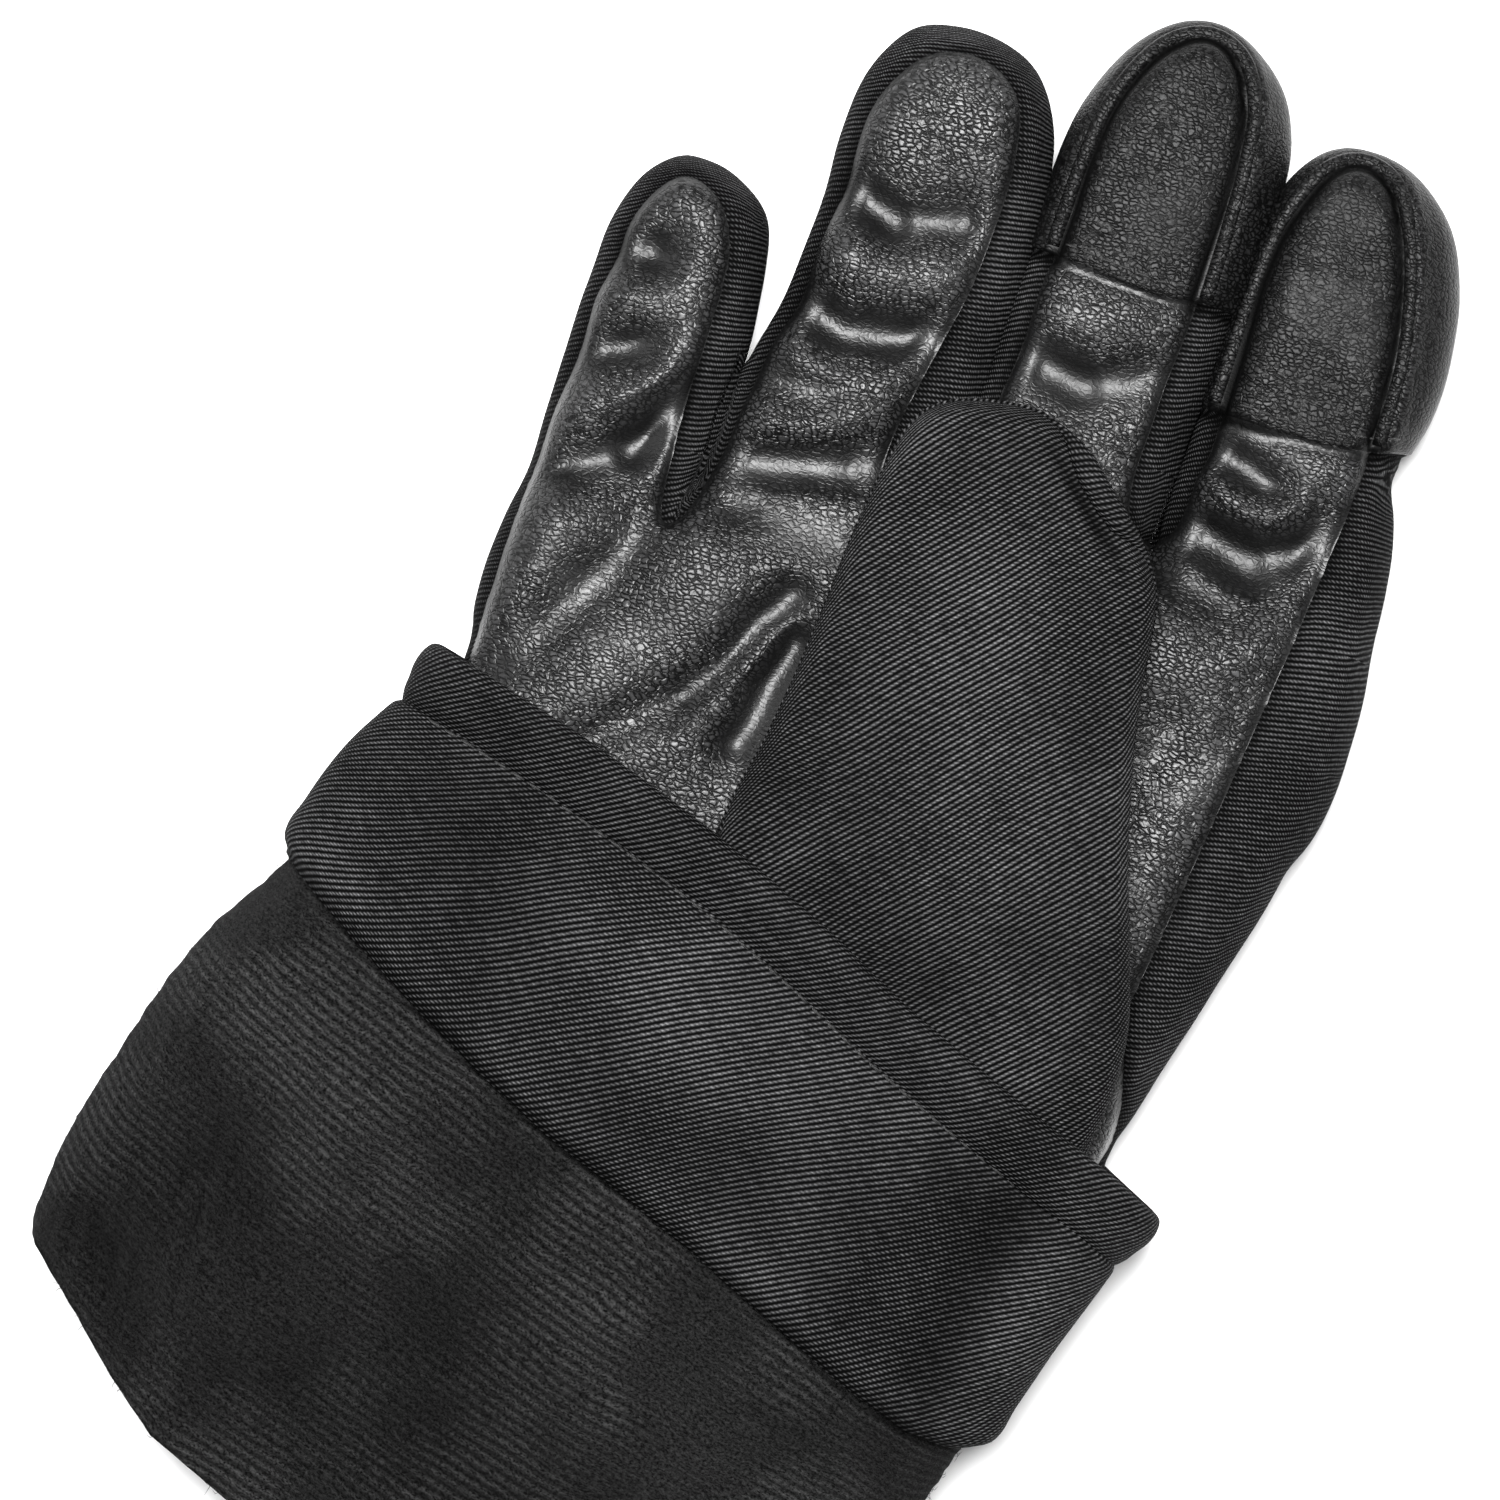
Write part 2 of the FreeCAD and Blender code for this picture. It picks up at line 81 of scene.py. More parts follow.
PALM = [(-74, -60), (-74.4, -8), (-74.4, 12), (-70.5, 24), (-58, 25), (-44, 30), (-26, 38), (0, 42),
        (30, 44), (50, 46), (62, 46), (68, 38), (68.4, 22), (66.5, 0), (62, -20), (57.8, -38), (55, -56),
        (54, -90), (-70, -90)]
FINGER_OUTLINES = {
    "pinky": [(-73.6, 0), (-75, 30), (-75.8, 46), (-75.8, 58), (-75.8, 68), (-73.4, 77.4), (-69, 82.8),
              (-64.5, 84), (-58.6, 83), (-51.6, 78.4), (-48.8, 70), (-47.4, 60), (-46.9, 52),
              (-46.2, 44), (-46.6, 34), (-48.6, 26), (-53, 10), (-60, 0)],
    "ring": [(-45.5, 8), (-48.6, 26), (-47.4, 34), (-47, 44), (-46.6, 51), (-44.4, 64), (-43.2, 80),
             (-44, 95), (-43.2, 107), (-38.7, 116), (-31.4, 119.2), (-23, 119), (-16, 115.6),
             (-10.8, 107.4), (-8.2, 96), (-7.2, 84), (-7.2, 66), (-7.4, 52), (-8, 36), (-10, 8)],
    "middle": [(-7, 8), (-8.2, 36), (-8, 52), (-7.8, 66), (-7.6, 82), (-7.6, 100), (-6.8, 113),
               (-3, 124), (3, 131), (9.6, 133.2), (17, 131), (23.5, 125.5), (27.2, 117),
               (28.1, 106), (28.1, 92), (28.1, 78), (28.1, 62), (28.1, 46), (26, 8)],
    "index": [(29, 8), (28.5, 40), (28.4, 56), (28.4, 72), (28.4, 90), (28.6, 104), (30.2, 113),
              (34.5, 119.5), (41, 121.6), (49, 120.2), (57, 114), (62, 104), (64.2, 93),
              (64.4, 84), (62.8, 76), (62.3, 71), (65, 65), (67.3, 56), (68.3, 42), (67, 8)],
}
LEATHER = [(-73.6, -70), (-73.8, -8), (-74.2, 25), (-74, 48), (-73.2, 62), (-73, 69), (-70.6, 76),
           (-67, 79.8), (-63, 79.9), (-59, 77.4), (-55.8, 72.5), (-54.2, 66), (-53.6, 52),
           (-52.8, 38), (-51.6, 27), (-50, 24.4), (-47.4, 27), (-45.3, 38), (-44.2, 52), (-41.8, 68),
           (-41, 84), (-41.2, 99), (-39, 107), (-34.8, 112.8), (-29, 115), (-23, 114.2),
           (-18.4, 110.5), (-16, 104), (-14.6, 94), (-15, 78), (-17.5, 62), (-19, 50), (-18, 42),
           (-12, 39.5), (-7, 43), (-5.2, 55), (-4.2, 72), (-4, 90), (-3.8, 106), (-2.2, 117),
           (2, 126.5), (8, 130.8), (14, 129), (18.6, 122), (20.6, 112), (21.3, 100), (21.5, 86),
           (21.2, 70), (21.6, 56), (24.5, 48.5), (29, 50), (30.6, 60), (30.8, 78), (30.4, 96),
           (31.4, 107), (34.8, 116), (40, 119.6), (46, 117.4), (50.6, 110), (54.2, 100),
           (56.4, 89), (57.2, 78), (57, 66), (55.6, 45), (54, 25), (52, 0), (49.6, -25), (45, -60)]
THUMB = [(-27, -76), (-26, -50), (-25.2, -22), (-22.3, -2), (-21, 15), (-20.2, 32), (-18.8, 45),
         (-17.2, 52.6), (-13.6, 57.4), (-7, 60.2), (0, 61.6), (5, 61), (10.6, 58.2), (17.6, 52.2),
         (26.4, 44.8), (30, 40), (31.8, 33), (34.2, 19), (39.8, -1), (45.4, -16), (49.6, -28),
         (51, -38), (50.6, -52), (50, -76)]

FINGERS = {
    # middle fold y, tip fold y, the hem of a touch cap as (x, y) points
    "pinky": (46.0, 64.0, None),
    "ring": (64.5, 86.0, None),
    "middle": (69.0, 88.5, [(-9, 88.4), (4, 87.6), (14, 87.2), (22, 88.6), (30, 88.8)]),
    "index": (50.0, 74.5, [(27, 72.6), (40, 72.4), (50, 73.2), (57, 74.6), (66, 77.8)]),
}

# x, y, x, y, width, depth of a crease in the leather; a negative depth is a ridge
CREASES = [
    # little finger
    (-76, 64, -67, 66, 4.0, 2.8), (-74, 47, -64, 50, 4.5, 2.6), (-70, 27, -60, 33, 4.5, 2.2),
    (-60, 34, -52, 46, 4.0, 3.4), (-73, 35, -62, 42, 4.5, -1.5), (-62, 43, -56.5, 54, 4.0, -1.5),
    (-58, 56, -59, 75, 4.5, -1.1), (-70, 56, -66, 57, 5.0, -0.8),
    # ring finger
    (-43, 88, -31, 84, 4.4, 3.2), (-31, 84, -20, 88, 4.0, 2.2), (-44, 67, -33, 63.5, 4.4, 3.2),
    (-33, 63.5, -18, 68, 4.2, 2.8), (-42, 53, -33, 51, 4.0, 1.8), (-39, 39, -20, 45, 4.6, 2.4),
    (-38, 77, -20, 77, 4.2, -1.3), (-40, 59, -24, 58, 3.6, -0.9), (-43, 45, -24, 52, 4.0, -1.5),
    (-33, 106, -22, 106, 9.0, -1.0),
    # middle finger
    (-5, 71.5, 8, 69, 4.5, 3.0), (8, 69, 19, 74, 4.2, 2.2), (-2, 80, 18, 80, 4.5, -0.9),
    (0, 108, 16, 106, 9.0, -0.8),
    # index finger
    (31, 66.5, 42, 63, 3.8, 3.0), (33, 53, 44, 50.5, 5.2, 3.6), (44, 50.5, 54, 57, 4.4, 3.0),
    (32, 59, 46, 60.5, 3.4, -1.4), (31, 44, 42, 41, 4.4, 1.8), (46, 68, 54, 69, 4.0, -1.0),
    (36, 98, 50, 95, 8.0, -0.8),
    # palm
    (-53, 22, -58, 11, 4.4, 1.7), (-58, 11, -63, 0, 4.2, 2.0), (-63, 0, -69, -7, 4.2, 1.6),
    (-26, 20, -31.5, 8.5, 3.2, 2.2), (-31.5, 8.5, -38, -2, 3.0, 2.3), (-38, -2, -50, -14, 3.2, 2.0),
    (-27.5, 12, -33, 1, 2.4, -0.9), (-39, 29.5, -23, 31, 4.6, 1.7), (-23, 12, -27, -6, 3.6, 2.8),
    (-50, 26, -44, 22, 5.0, -1.0), (-56, -2, -46, -9, 8.0, -1.4), (-44, 14, -38, 5, 6.0, -1.3),
    (-68, 18, -62, 22, 5.0, -0.9), (-36, -10, -30, -2, 4.0, -1.2),
    (47, 34, 42, 26, 8.0, -1.2), (46, 8, 45, -8, 7.0, -1.0), (40, 20, 36, 8, 5.0, 1.4),
    (54, 40, 50, 22, 3.0, 0.9),
]
# gentle folds in the twill side panel beside the index finger
SIDE_FOLDS = [(62, 63, 67, 52, 4.0, 1.4), (60, 26, 66, 14, 5.0, 1.2), (58, -4, 62, -16, 5, 1.0)]


def curve_piece(a, b, c, d, step):
    """Places along a Catmull-Rom curve from b up to c."""
    count = max(2, int(np.linalg.norm(c - b) / step))
    t = np.arange(count)[:, None] / count
    return 0.5 * (2 * b + (c - a) * t + (2 * a - 5 * b + 4 * c - d) * t ** 2
                  + (3 * b - a - 3 * c + d) * t ** 3)


def smooth_loop(points, step=1.2):
    """A closed curve through the points, as an array of closely spaced places."""
    control = np.array(points, float)
    rolled = [np.roll(control, shift, 0) for shift in (1, 0, -1, -2)]
    return np.concatenate([curve_piece(*four, step) for four in zip(*rolled)])


def smooth_path(points, step=1.0):
    """An open curve through points of any dimension."""
    control = np.array(points, float)
    ends = np.concatenate([[2 * control[0] - control[1]], control, [2 * control[-1] - control[-2]]])
    pieces = [curve_piece(*four, step) for four in zip(ends, ends[1:], ends[2:], ends[3:])]
    return np.concatenate(pieces + [control[-1:]])


def length_along(path):
    """The length from a path's start to each of its places."""
    return np.concatenate([[0], np.cumsum(np.linalg.norm(np.diff(path, axis=0), axis=1))])


def against(table, x):
    """A value read off a table of (x, value) points."""
    xs, values = zip(*table)
    return np.interp(x, xs, values)


def unit(vectors):
    return vectors / np.linalg.norm(vectors, axis=1)[:, None]


def halves(quads):
    """Each four-cornered face as two triangles."""
    return np.concatenate([quads[:, [0, 1, 2]], quads[:, [0, 2, 3]]])


def loop_distance(x, y, loop):
    """Signed distance to a closed outline, negative inside, and its outward direction."""
    px, py = np.ravel(x), np.ravel(y)
    best = np.full(px.shape, 1e9)
    bx, by = np.zeros_like(px), np.zeros_like(px)
    inside = np.zeros(px.shape, bool)
    for (ax, ay), (cx, cy) in zip(loop, np.roll(loop, -1, 0)):
        ex, ey = cx - ax, cy - ay
        t = np.clip(((px - ax) * ex + (py - ay) * ey) / (ex * ex + ey * ey + 1e-12), 0, 1)
        qx, qy = px - ax - t * ex, py - ay - t * ey
        squared = qx * qx + qy * qy
        near = squared < best
        best[near], bx[near], by[near] = squared[near], qx[near], qy[near]
        if ay != cy:
            crossing = ((ay > py) != (cy > py)) & (px < (cx - ax) * (py - ay) / (cy - ay) + ax)
            inside ^= crossing
    distance = np.sqrt(best)
    sign = np.where(inside, -1.0, 1.0)
    scale = sign / np.maximum(distance, 1e-6)
    shape = np.shape(x)
    return ((distance * sign).reshape(shape), (bx * scale).reshape(shape),
            (by * scale).reshape(shape))


def smooth_min(a, b, reach):
    """The lesser of two fields, rounded where they meet."""
    mix = np.clip(0.5 + 0.5 * (b - a) / reach, 0, 1)
    return b + (a - b) * mix - reach * mix * (1 - mix)


def segment_distance(x, y, ax, ay, bx, by):
    ex, ey = bx - ax, by - ay
    t = np.clip(((x - ax) * ex + (y - ay) * ey) / (ex * ex + ey * ey), 0, 1)
    return np.hypot(x - ax - t * ex, y - ay - t * ey)


def bumps(x, y, creases):
    """The height that creases take away less the height of ridges, with soft shoulders."""
    valley, ridge = np.zeros_like(x), np.zeros_like(x)
    for ax, ay, bx, by, width, depth in creases:
        reach = np.exp(-(segment_distance(x, y, ax, ay, bx, by) / (1.25 * width)) ** 2)
        valley = np.maximum(valley, depth * reach)
        ridge = np.maximum(ridge, -depth * reach)
    return valley - ridge


def noise_at(points, size, seed):
    """Smooth noise of one feature size at each place; the seed picks another part of it."""
    offset = Vector((seed * 17.3, seed * 5.1, seed * 9.7))
    scale = 1 / size
    return np.array([noise.noise(Vector((p[0] * scale, p[1] * scale, p[2] * scale)) + offset)
                     for p in points])


def cloth_noise(points, size, seed):
    """Noise over a grid of places."""
    return noise_at(points.reshape(-1, 3), size, seed).reshape(points.shape[:2])


# ------------------------------------------------------------------ stuffed shapes

class Lattice:
    """A box of sample points on the global lattice, so that neighbouring boxes agree."""

    def __init__(self, low, high, cell=CELL):
        self.cell = cell
        first = [math.floor(value / cell) for value in low]
        last = [math.ceil(value / cell) for value in high]
        self.axes = [np.arange(a, b + 1) * cell for a, b in zip(first, last)]
        self.origin = np.array([axis[0] for axis in self.axes])
        self.x, self.y = np.meshgrid(self.axes[0], self.axes[1], indexing="ij")
        self.z = self.axes[2]

    def pillow(self, outline, low, high, edge):
        """A rounded slab over an outline; low and high may vary over the plan."""
        distance = loop_distance(self.x, self.y, smooth_loop(outline))[0][:, :, None]
        middle = np.asarray(low + high) / 2
        half = np.asarray(high - low) / 2
        if np.ndim(middle):
            middle, half = middle[:, :, None], half[:, :, None]
        flat = distance + edge
        tall = np.abs(self.z[None, None, :] - middle) - (half - edge)
        outside = np.hypot(np.maximum(flat, 0), np.maximum(tall, 0))
        return np.minimum(np.maximum(flat, tall), 0) + outside - edge


def net_points(field, active, corners, at):
    """One point in each cell that the zero surface passes through."""
    total, hits = np.zeros((active.sum(), 3)), np.zeros(active.sum())
    for a in corners:
        for axis in range(3):
            if a[axis]:
                continue
            b = tuple(1 if n == axis else value for n, value in enumerate(a))
            fa, fb = at(field, a)[active], at(field, b)[active]
            cross = (fa < 0) != (fb < 0)
            place = np.tile(np.array(a, float), (cross.sum(), 1))
            place[:, axis] += fa[cross] / (fa[cross] - fb[cross])
            total[cross] += place
            hits[cross] += 1
    return np.argwhere(active) + total / hits[:, None]


def net_quads(inside, number):
    """A face across each lattice edge that the zero surface crosses; number is each cell's point."""
    quads = []
    for axis in range(3):
        u, v = [(1, 2), (2, 0), (0, 1)][axis]
        low = [slice(1, n - 1) for n in inside.shape]
        low[axis] = slice(0, inside.shape[axis] - 1)
        high = list(low)
        high[axis] = slice(1, inside.shape[axis])
        start, end = inside[tuple(low)], inside[tuple(high)]
        for flip, mask in ((False, start & ~end), (True, ~start & end)):
            place = np.argwhere(mask) + [part.start for part in low]
            ring = []
            for du, dv in ((-1, -1), (0, -1), (0, 0), (-1, 0)):
                cell = place.copy()
                cell[:, u] += du
                cell[:, v] += dv
                ring.append(number[cell[:, 0], cell[:, 1], cell[:, 2]])
            quad = np.stack(ring, 1)
            quads.append(quad[:, ::-1] if flip else quad)
    return np.concatenate(quads)


def net(field, lattice):
    """The zero surface of a sampled field, as points and quads (a surface net)."""
    inside = field < 0
    cells = tuple(n - 1 for n in field.shape)
    corners = [(i, j, k) for i in (0, 1) for j in (0, 1) for k in (0, 1)]

    def at(array, c):
        return array[c[0]:c[0] + cells[0], c[1]:c[1] + cells[1], c[2]:c[2] + cells[2]]

    count = sum(at(inside, c).astype(np.int8) for c in corners)
    active = (count > 0) & (count < 8)
    number = np.full(cells, -1, np.int64)
    number[active] = np.arange(active.sum())
    points = net_points(field, active, corners, at)
    return lattice.origin + points * lattice.cell, net_quads(inside, number)


def sample(field, lattice, points):
    """A field's value between its lattice points."""
    place = (points - lattice.origin) / lattice.cell
    base = np.clip(place.astype(int), 0, np.array(field.shape) - 2)
    part = place - base
    value = 0
    for i in (0, 1):
        for j in (0, 1):
            for k in (0, 1):
                weight = np.ones(len(points))
                for axis, bit in enumerate((i, j, k)):
                    weight = weight * (part[:, axis] if bit else 1 - part[:, axis])
                value = value + weight * field[base[:, 0] + i, base[:, 1] + j, base[:, 2] + k]
    return value


class Skin:
    """A triangle surface that is cut along seams and then shaped."""

    def __init__(self, points, triangles, out, weave):
        self.rest = points
        self.triangles = triangles
        self.out = out
        self.weave = weave
        self.points = points.copy()

    def middle(self):
        return self.rest[self.triangles].mean(1)

    def finish(self, shade=None):
        """Keep the final directions, and the painted shade of the cloth's own folds, which is above 1
        where ridges are painted lighter.
        """
        self.final_normals = self.normals()
        self.shade = np.ones(len(self.points)) if shade is None else np.clip(shade, 0.12, 1.5)

    def cut(self, level, keep=None):
        """Split the triangles that a level's zero line crosses."""
        value = level(self.rest)
        value[np.abs(value) < NEAR_CUT] = 0.0
        sign = np.sign(value)
        corner = sign[self.triangles]
        mixed = (corner.min(1) < 0) & (corner.max(1) > 0)
        plain, split = self.triangles[~mixed], self.triangles[mixed]
        signs = corner[mixed]
        zero = (signs == 0).any(1)
        pivot = np.where(zero, np.argmax(signs == 0, 1),
                         np.argmax(signs == -np.sign(signs.sum(1))[:, None], 1))
        split = np.stack([split[np.arange(len(split)), (pivot + n) % 3] for n in range(3)], 1)
        pairs = {"01": split[~zero][:, [0, 1]], "02": split[~zero][:, [0, 2]],
                 "12": split[zero][:, [1, 2]]}
        edges = np.sort(np.concatenate(list(pairs.values())), 1)
        unique, where = np.unique(edges, axis=0, return_inverse=True)
        where = where.ravel()
        if len(unique):
            a, b = unique[:, 0], unique[:, 1]
            t = (value[a] / (value[a] - value[b]))[:, None]
            for name in ("rest", "out", "weave", "points"):
                array = getattr(self, name)
                setattr(self, name, np.concatenate([array, array[a] * (1 - t) + array[b] * t]))
            fresh = where + len(value)
            n1, n2 = len(pairs["01"]), len(pairs["02"])
            p, q, r = fresh[:n1], fresh[n1:n1 + n2], fresh[n1 + n2:]
            s, z = split[~zero], split[zero]
            self.triangles = np.concatenate([
                plain, np.stack([s[:, 0], p, q], 1), np.stack([p, s[:, 1], s[:, 2]], 1),
                np.stack([p, s[:, 2], q], 1), np.stack([z[:, 0], z[:, 1], r], 1),
                np.stack([z[:, 0], r, z[:, 2]], 1)])
        if keep is not None:
            side = np.sign(level(self.middle())) == keep
            self.triangles = self.triangles[side]

    def normals(self):
        a, b, c = (self.points[self.triangles[:, n]] for n in range(3))
        face = np.cross(b - a, c - a)
        total = np.zeros_like(self.points)
        for n in range(3):
            np.add.at(total, self.triangles[:, n], face)
        return total / np.maximum(np.linalg.norm(total, axis=1), 1e-9)[:, None]


def skin_of(field, lattice, outline=None, top=0.0):
    """The surface of a field, evened out, with its outward directions and weave places."""
    points, quads = net(field, lattice)
    gradient = np.stack(np.gradient(field, lattice.cell), -1)
    edges = np.concatenate([quads[:, [0, 1]], quads[:, [1, 2]], quads[:, [2, 3]], quads[:, [3, 0]]])
    for _ in range(3):
        total, hits = np.zeros_like(points), np.zeros(len(points))
        for a, b in ((0, 1), (1, 0)):
            np.add.at(total, edges[:, a], points[edges[:, b]])
            np.add.at(hits, edges[:, a], 1)
        points = points * 0.5 + 0.5 * total / hits[:, None]
        slope = np.stack([sample(gradient[..., n], lattice, points) for n in range(3)], 1)
        slope /= np.maximum(np.linalg.norm(slope, axis=1), 1e-6)[:, None]
        points = points - slope * sample(field, lattice, points)[:, None]
    weave = points if outline is None else unrolled(points, slope, outline, top)
    return Skin(points, halves(quads), slope, weave.copy())


def unrolled(points, slope, outline, top):
    """Where the cloth of a pocket's side would lie if it were rolled out flat."""
    _, nx, ny = loop_distance(points[:, 0], points[:, 1], smooth_loop(outline))
    height = top(points[:, 0], points[:, 1]) if callable(top) else top
    steep = np.clip((0.92 - slope[:, 2]) / 0.3, 0, 1) * np.clip((0.95 + slope[:, 2]) / 0.5, 0, 1)
    drop = np.maximum(height - points[:, 2], 0) * steep
    return np.stack([points[:, 0] + nx * drop, points[:, 1] + ny * drop, points[:, 2]], 1)


# ------------------------------------------------------------------ pieces

def to_frame(points):
    """Places drawn about the wrist, in metres in the shared frame."""
    moved = np.array(points, float)
    moved[:, 0] += SHIFT[0]
    moved[:, 1] += SHIFT[1]
    return moved * MM


def from_frame(place):
    """A place in the shared frame, in millimetres about the wrist."""
    return np.array(place) / MM - (*SHIFT, 0)


def new_mesh(name, points, faces, weave=None, normals=None, material=None, shade=None):
    """A piece's object from places in millimetres; shade is painted shade below 1 in folds and grooves
    and painted light above 1 on ridges and bulges.
    """
    used, remap = np.unique(faces, return_inverse=True)
    faces = remap.reshape(faces.shape)
    shade = np.ones(len(points)) if shade is None else shade
    mesh = bpy.data.meshes.new(name)
    mesh.from_pydata(to_frame(points[used]).tolist(), [], faces.tolist())
    mesh.polygons.foreach_set("use_smooth", [True] * len(mesh.polygons))
    if weave is not None:
        layer = mesh.attributes.new("weave", "FLOAT_VECTOR", "POINT")
        layer.data.foreach_set("vector", np.ascontiguousarray(weave[used], np.float32).ravel())
    layer = mesh.attributes.new("shade", "FLOAT", "POINT")
    layer.data.foreach_set("value", np.ascontiguousarray(shade[used], np.float32))
    mesh.update()
    if normals is not None:
        mesh.normals_split_custom_set_from_vertices(normals[used].tolist())
    obj = bpy.data.objects.new(name, mesh)
    bpy.context.scene.collection.objects.link(obj)
    if material is not None:
        mesh.materials.append(material)
    return obj


def stands_for(obj, slot, *nodes):
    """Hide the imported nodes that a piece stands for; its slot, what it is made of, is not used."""
    if nodes:
        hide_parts(*nodes)
    return obj


def bend(obj):
    """Bake a piece's placement into its mesh."""
    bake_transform(obj)
    return obj


def panel(skin, name, mask, material, slot, nodes=()):
    """One piece of a skin: the triangles under a mask, or all of them."""
    mask = np.ones(len(skin.triangles), bool) if mask is None else mask
    obj = new_mesh(name, skin.points, skin.triangles[mask], skin.weave, skin.final_normals,
                   material, skin.shade)
    return stands_for(obj, slot, *nodes)


# ------------------------------------------------------------------ materials

class Graph:
    """A short way to write a node tree."""

    def __init__(self, name, base, roughness, **sockets):
        self.material = bpy.data.materials.new(name)
        self.material.use_nodes = True
        self.nodes = self.material.node_tree.nodes
        self.links = self.material.node_tree.links
        self.shader = self.nodes["Principled BSDF"]
        self.shader.inputs["Base Color"].default_value = (*base, 1)
        self.shader.inputs["Roughness"].default_value = roughness
        for socket, value in sockets.items():
            self.shader.inputs[socket.replace("_", " ")].default_value = value

    def add(self, kind, values=None, **settings):
        node = self.nodes.new(kind)
        for key, value in settings.items():
            setattr(node, key, value)
        for key, value in (values or {}).items():
            if isinstance(value, bpy.types.NodeSocket):
                self.links.new(value, node.inputs[key])
            else:
                node.inputs[key].default_value = value
        return node

    def math(self, operation, a, b=0.0):
        return self.add("ShaderNodeMath", {0: a, 1: b}, operation=operation).outputs[0]

    def times(self, a, b):
        return self.math("MULTIPLY", a, b)

    def plus(self, a, b):
        return self.math("ADD", a, b)

    def waves(self, angle):
        """The sine of an angle, brought to 0 to 1."""
        return self.plus(self.times(self.math("SINE", angle), 0.5), 0.5)

    def vector(self, operation, a, b):
        return self.add("ShaderNodeVectorMath", {0: a, 1: b}, operation=operation).outputs[0]

    def weave_place(self):
        """Where a place lies in its cloth, in millimetres."""
        return self.add("ShaderNodeAttribute", attribute_name="weave").outputs["Vector"]

    def object_place(self):
        """A place in its piece, in millimetres."""
        place = self.add("ShaderNodeTexCoord").outputs["Object"]
        return self.vector("MULTIPLY", place, (1000.0,) * 3)

    def wandered(self, place, scale, detail, reach):
        """A place moved about by broad noise, so that a pattern is not ruler straight."""
        drift = self.add("ShaderNodeTexNoise", {"Vector": place, "Scale": scale, "Detail": detail})
        return self.vector("ADD", place, self.vector("MULTIPLY", drift.outputs["Color"], reach))

    def shade(self):
        """The painted shade: below 1 where the cloth's own folds shade it, above 1 where ridges are
        painted lighter.
        """
        return self.add("ShaderNodeAttribute", attribute_name="shade").outputs["Fac"]

    def coloured(self, tone, blue=1.0):
        """Give the shader a grey tone with painted shade in the folds and painted light on the ridges.
        """
        tone = self.times(tone, self.math("POWER", self.shade(), 1.5))
        values = {"Red": tone, "Green": tone, "Blue": self.times(tone, blue)}
        self.set("Base Color", self.add("ShaderNodeCombineColor", values).outputs[0])

    def turned(self, vector, degrees, scale=(1, 1, 1)):
        return self.add("ShaderNodeMapping", {"Vector": vector, "Scale": scale,
                        "Rotation": (0, 0, math.radians(degrees))}).outputs[0]

    def noise(self, vector, scale, detail=2.0, rough=0.5):
        return self.add("ShaderNodeTexNoise", {"Vector": vector, "Scale": scale,
                        "Detail": detail, "Roughness": rough}).outputs["Fac"]

    def ramp(self, value, *stops):
        node = self.add("ShaderNodeValToRGB", {"Fac": value})
        ramp = node.color_ramp
        while len(ramp.elements) < len(stops):
            ramp.elements.new(0.5)
        for element, (place, grey) in zip(ramp.elements, stops):
            element.position = place
            element.color = (grey, grey, grey, 1)
        return node.outputs["Color"]

    def bump(self, height, distance):
        values = {"Height": height, "Distance": distance, "Strength": 1.0}
        return self.add("ShaderNodeBump", values).outputs["Normal"]

    def set(self, socket, value):
        self.links.new(value, self.shader.inputs[socket])


SLIGHTLY_BLUE = 1.02


def leather_material(name, grey, pebble, relief, low, high, shine):
    """Embossed synthetic leather: domed pebbles parted by wandering cracks, with painted shade in the
    cracks and painted light on the pebble tops.
    """
    g = Graph(name, (grey,) * 3, low, Specular_IOR_Level=shine)
    place = g.object_place()
    moved = g.wandered(place, 0.55, 2.0, (1.5, 1.5, 1.5))
    squeezed = g.turned(moved, -15, (0.8, 1.5, 0.9))
    edge = g.add("ShaderNodeTexVoronoi", {"Vector": squeezed, "Scale": pebble,
                 "Randomness": 0.75}, feature="DISTANCE_TO_EDGE").outputs["Distance"]
    dome = g.ramp(edge, (0.0, 0.0), (0.08, 0.28), (0.2, 0.8), (0.38, 1.0))
    patch = g.ramp(g.noise(place, 0.06, 2.0), (0.34, 0.6), (0.52, 1.0))
    # the pebbles and their painted crack shade flatten out where the painted shade of a fold is deep
    patch = g.times(patch, g.ramp(g.shade(), (0.45, 0.2), (0.9, 1.0)))
    pebbles = g.plus(g.times(g.math("SUBTRACT", dome, 0.7), patch), 0.7)
    grain = g.noise(moved, pebble * 3.2, 2.0, 0.6)
    g.set("Normal", g.bump(g.plus(pebbles, g.times(grain, 0.10)), relief))
    g.set("Roughness", g.ramp(g.noise(place, 0.07, 3.0, 0.6), (0.3, low), (0.7, high)))
    speck = g.plus(g.times(g.noise(moved, 1.1, 2.0, 0.6), 1.6), 0.2)
    # painted shade in the cracks and painted light on the pebble tops, varied by random specks
    tone = g.times(g.math("POWER", pebbles, 2.4), speck)
    g.coloured(g.times(g.plus(tone, 0.05), grey), SLIGHTLY_BLUE)
    return g.material


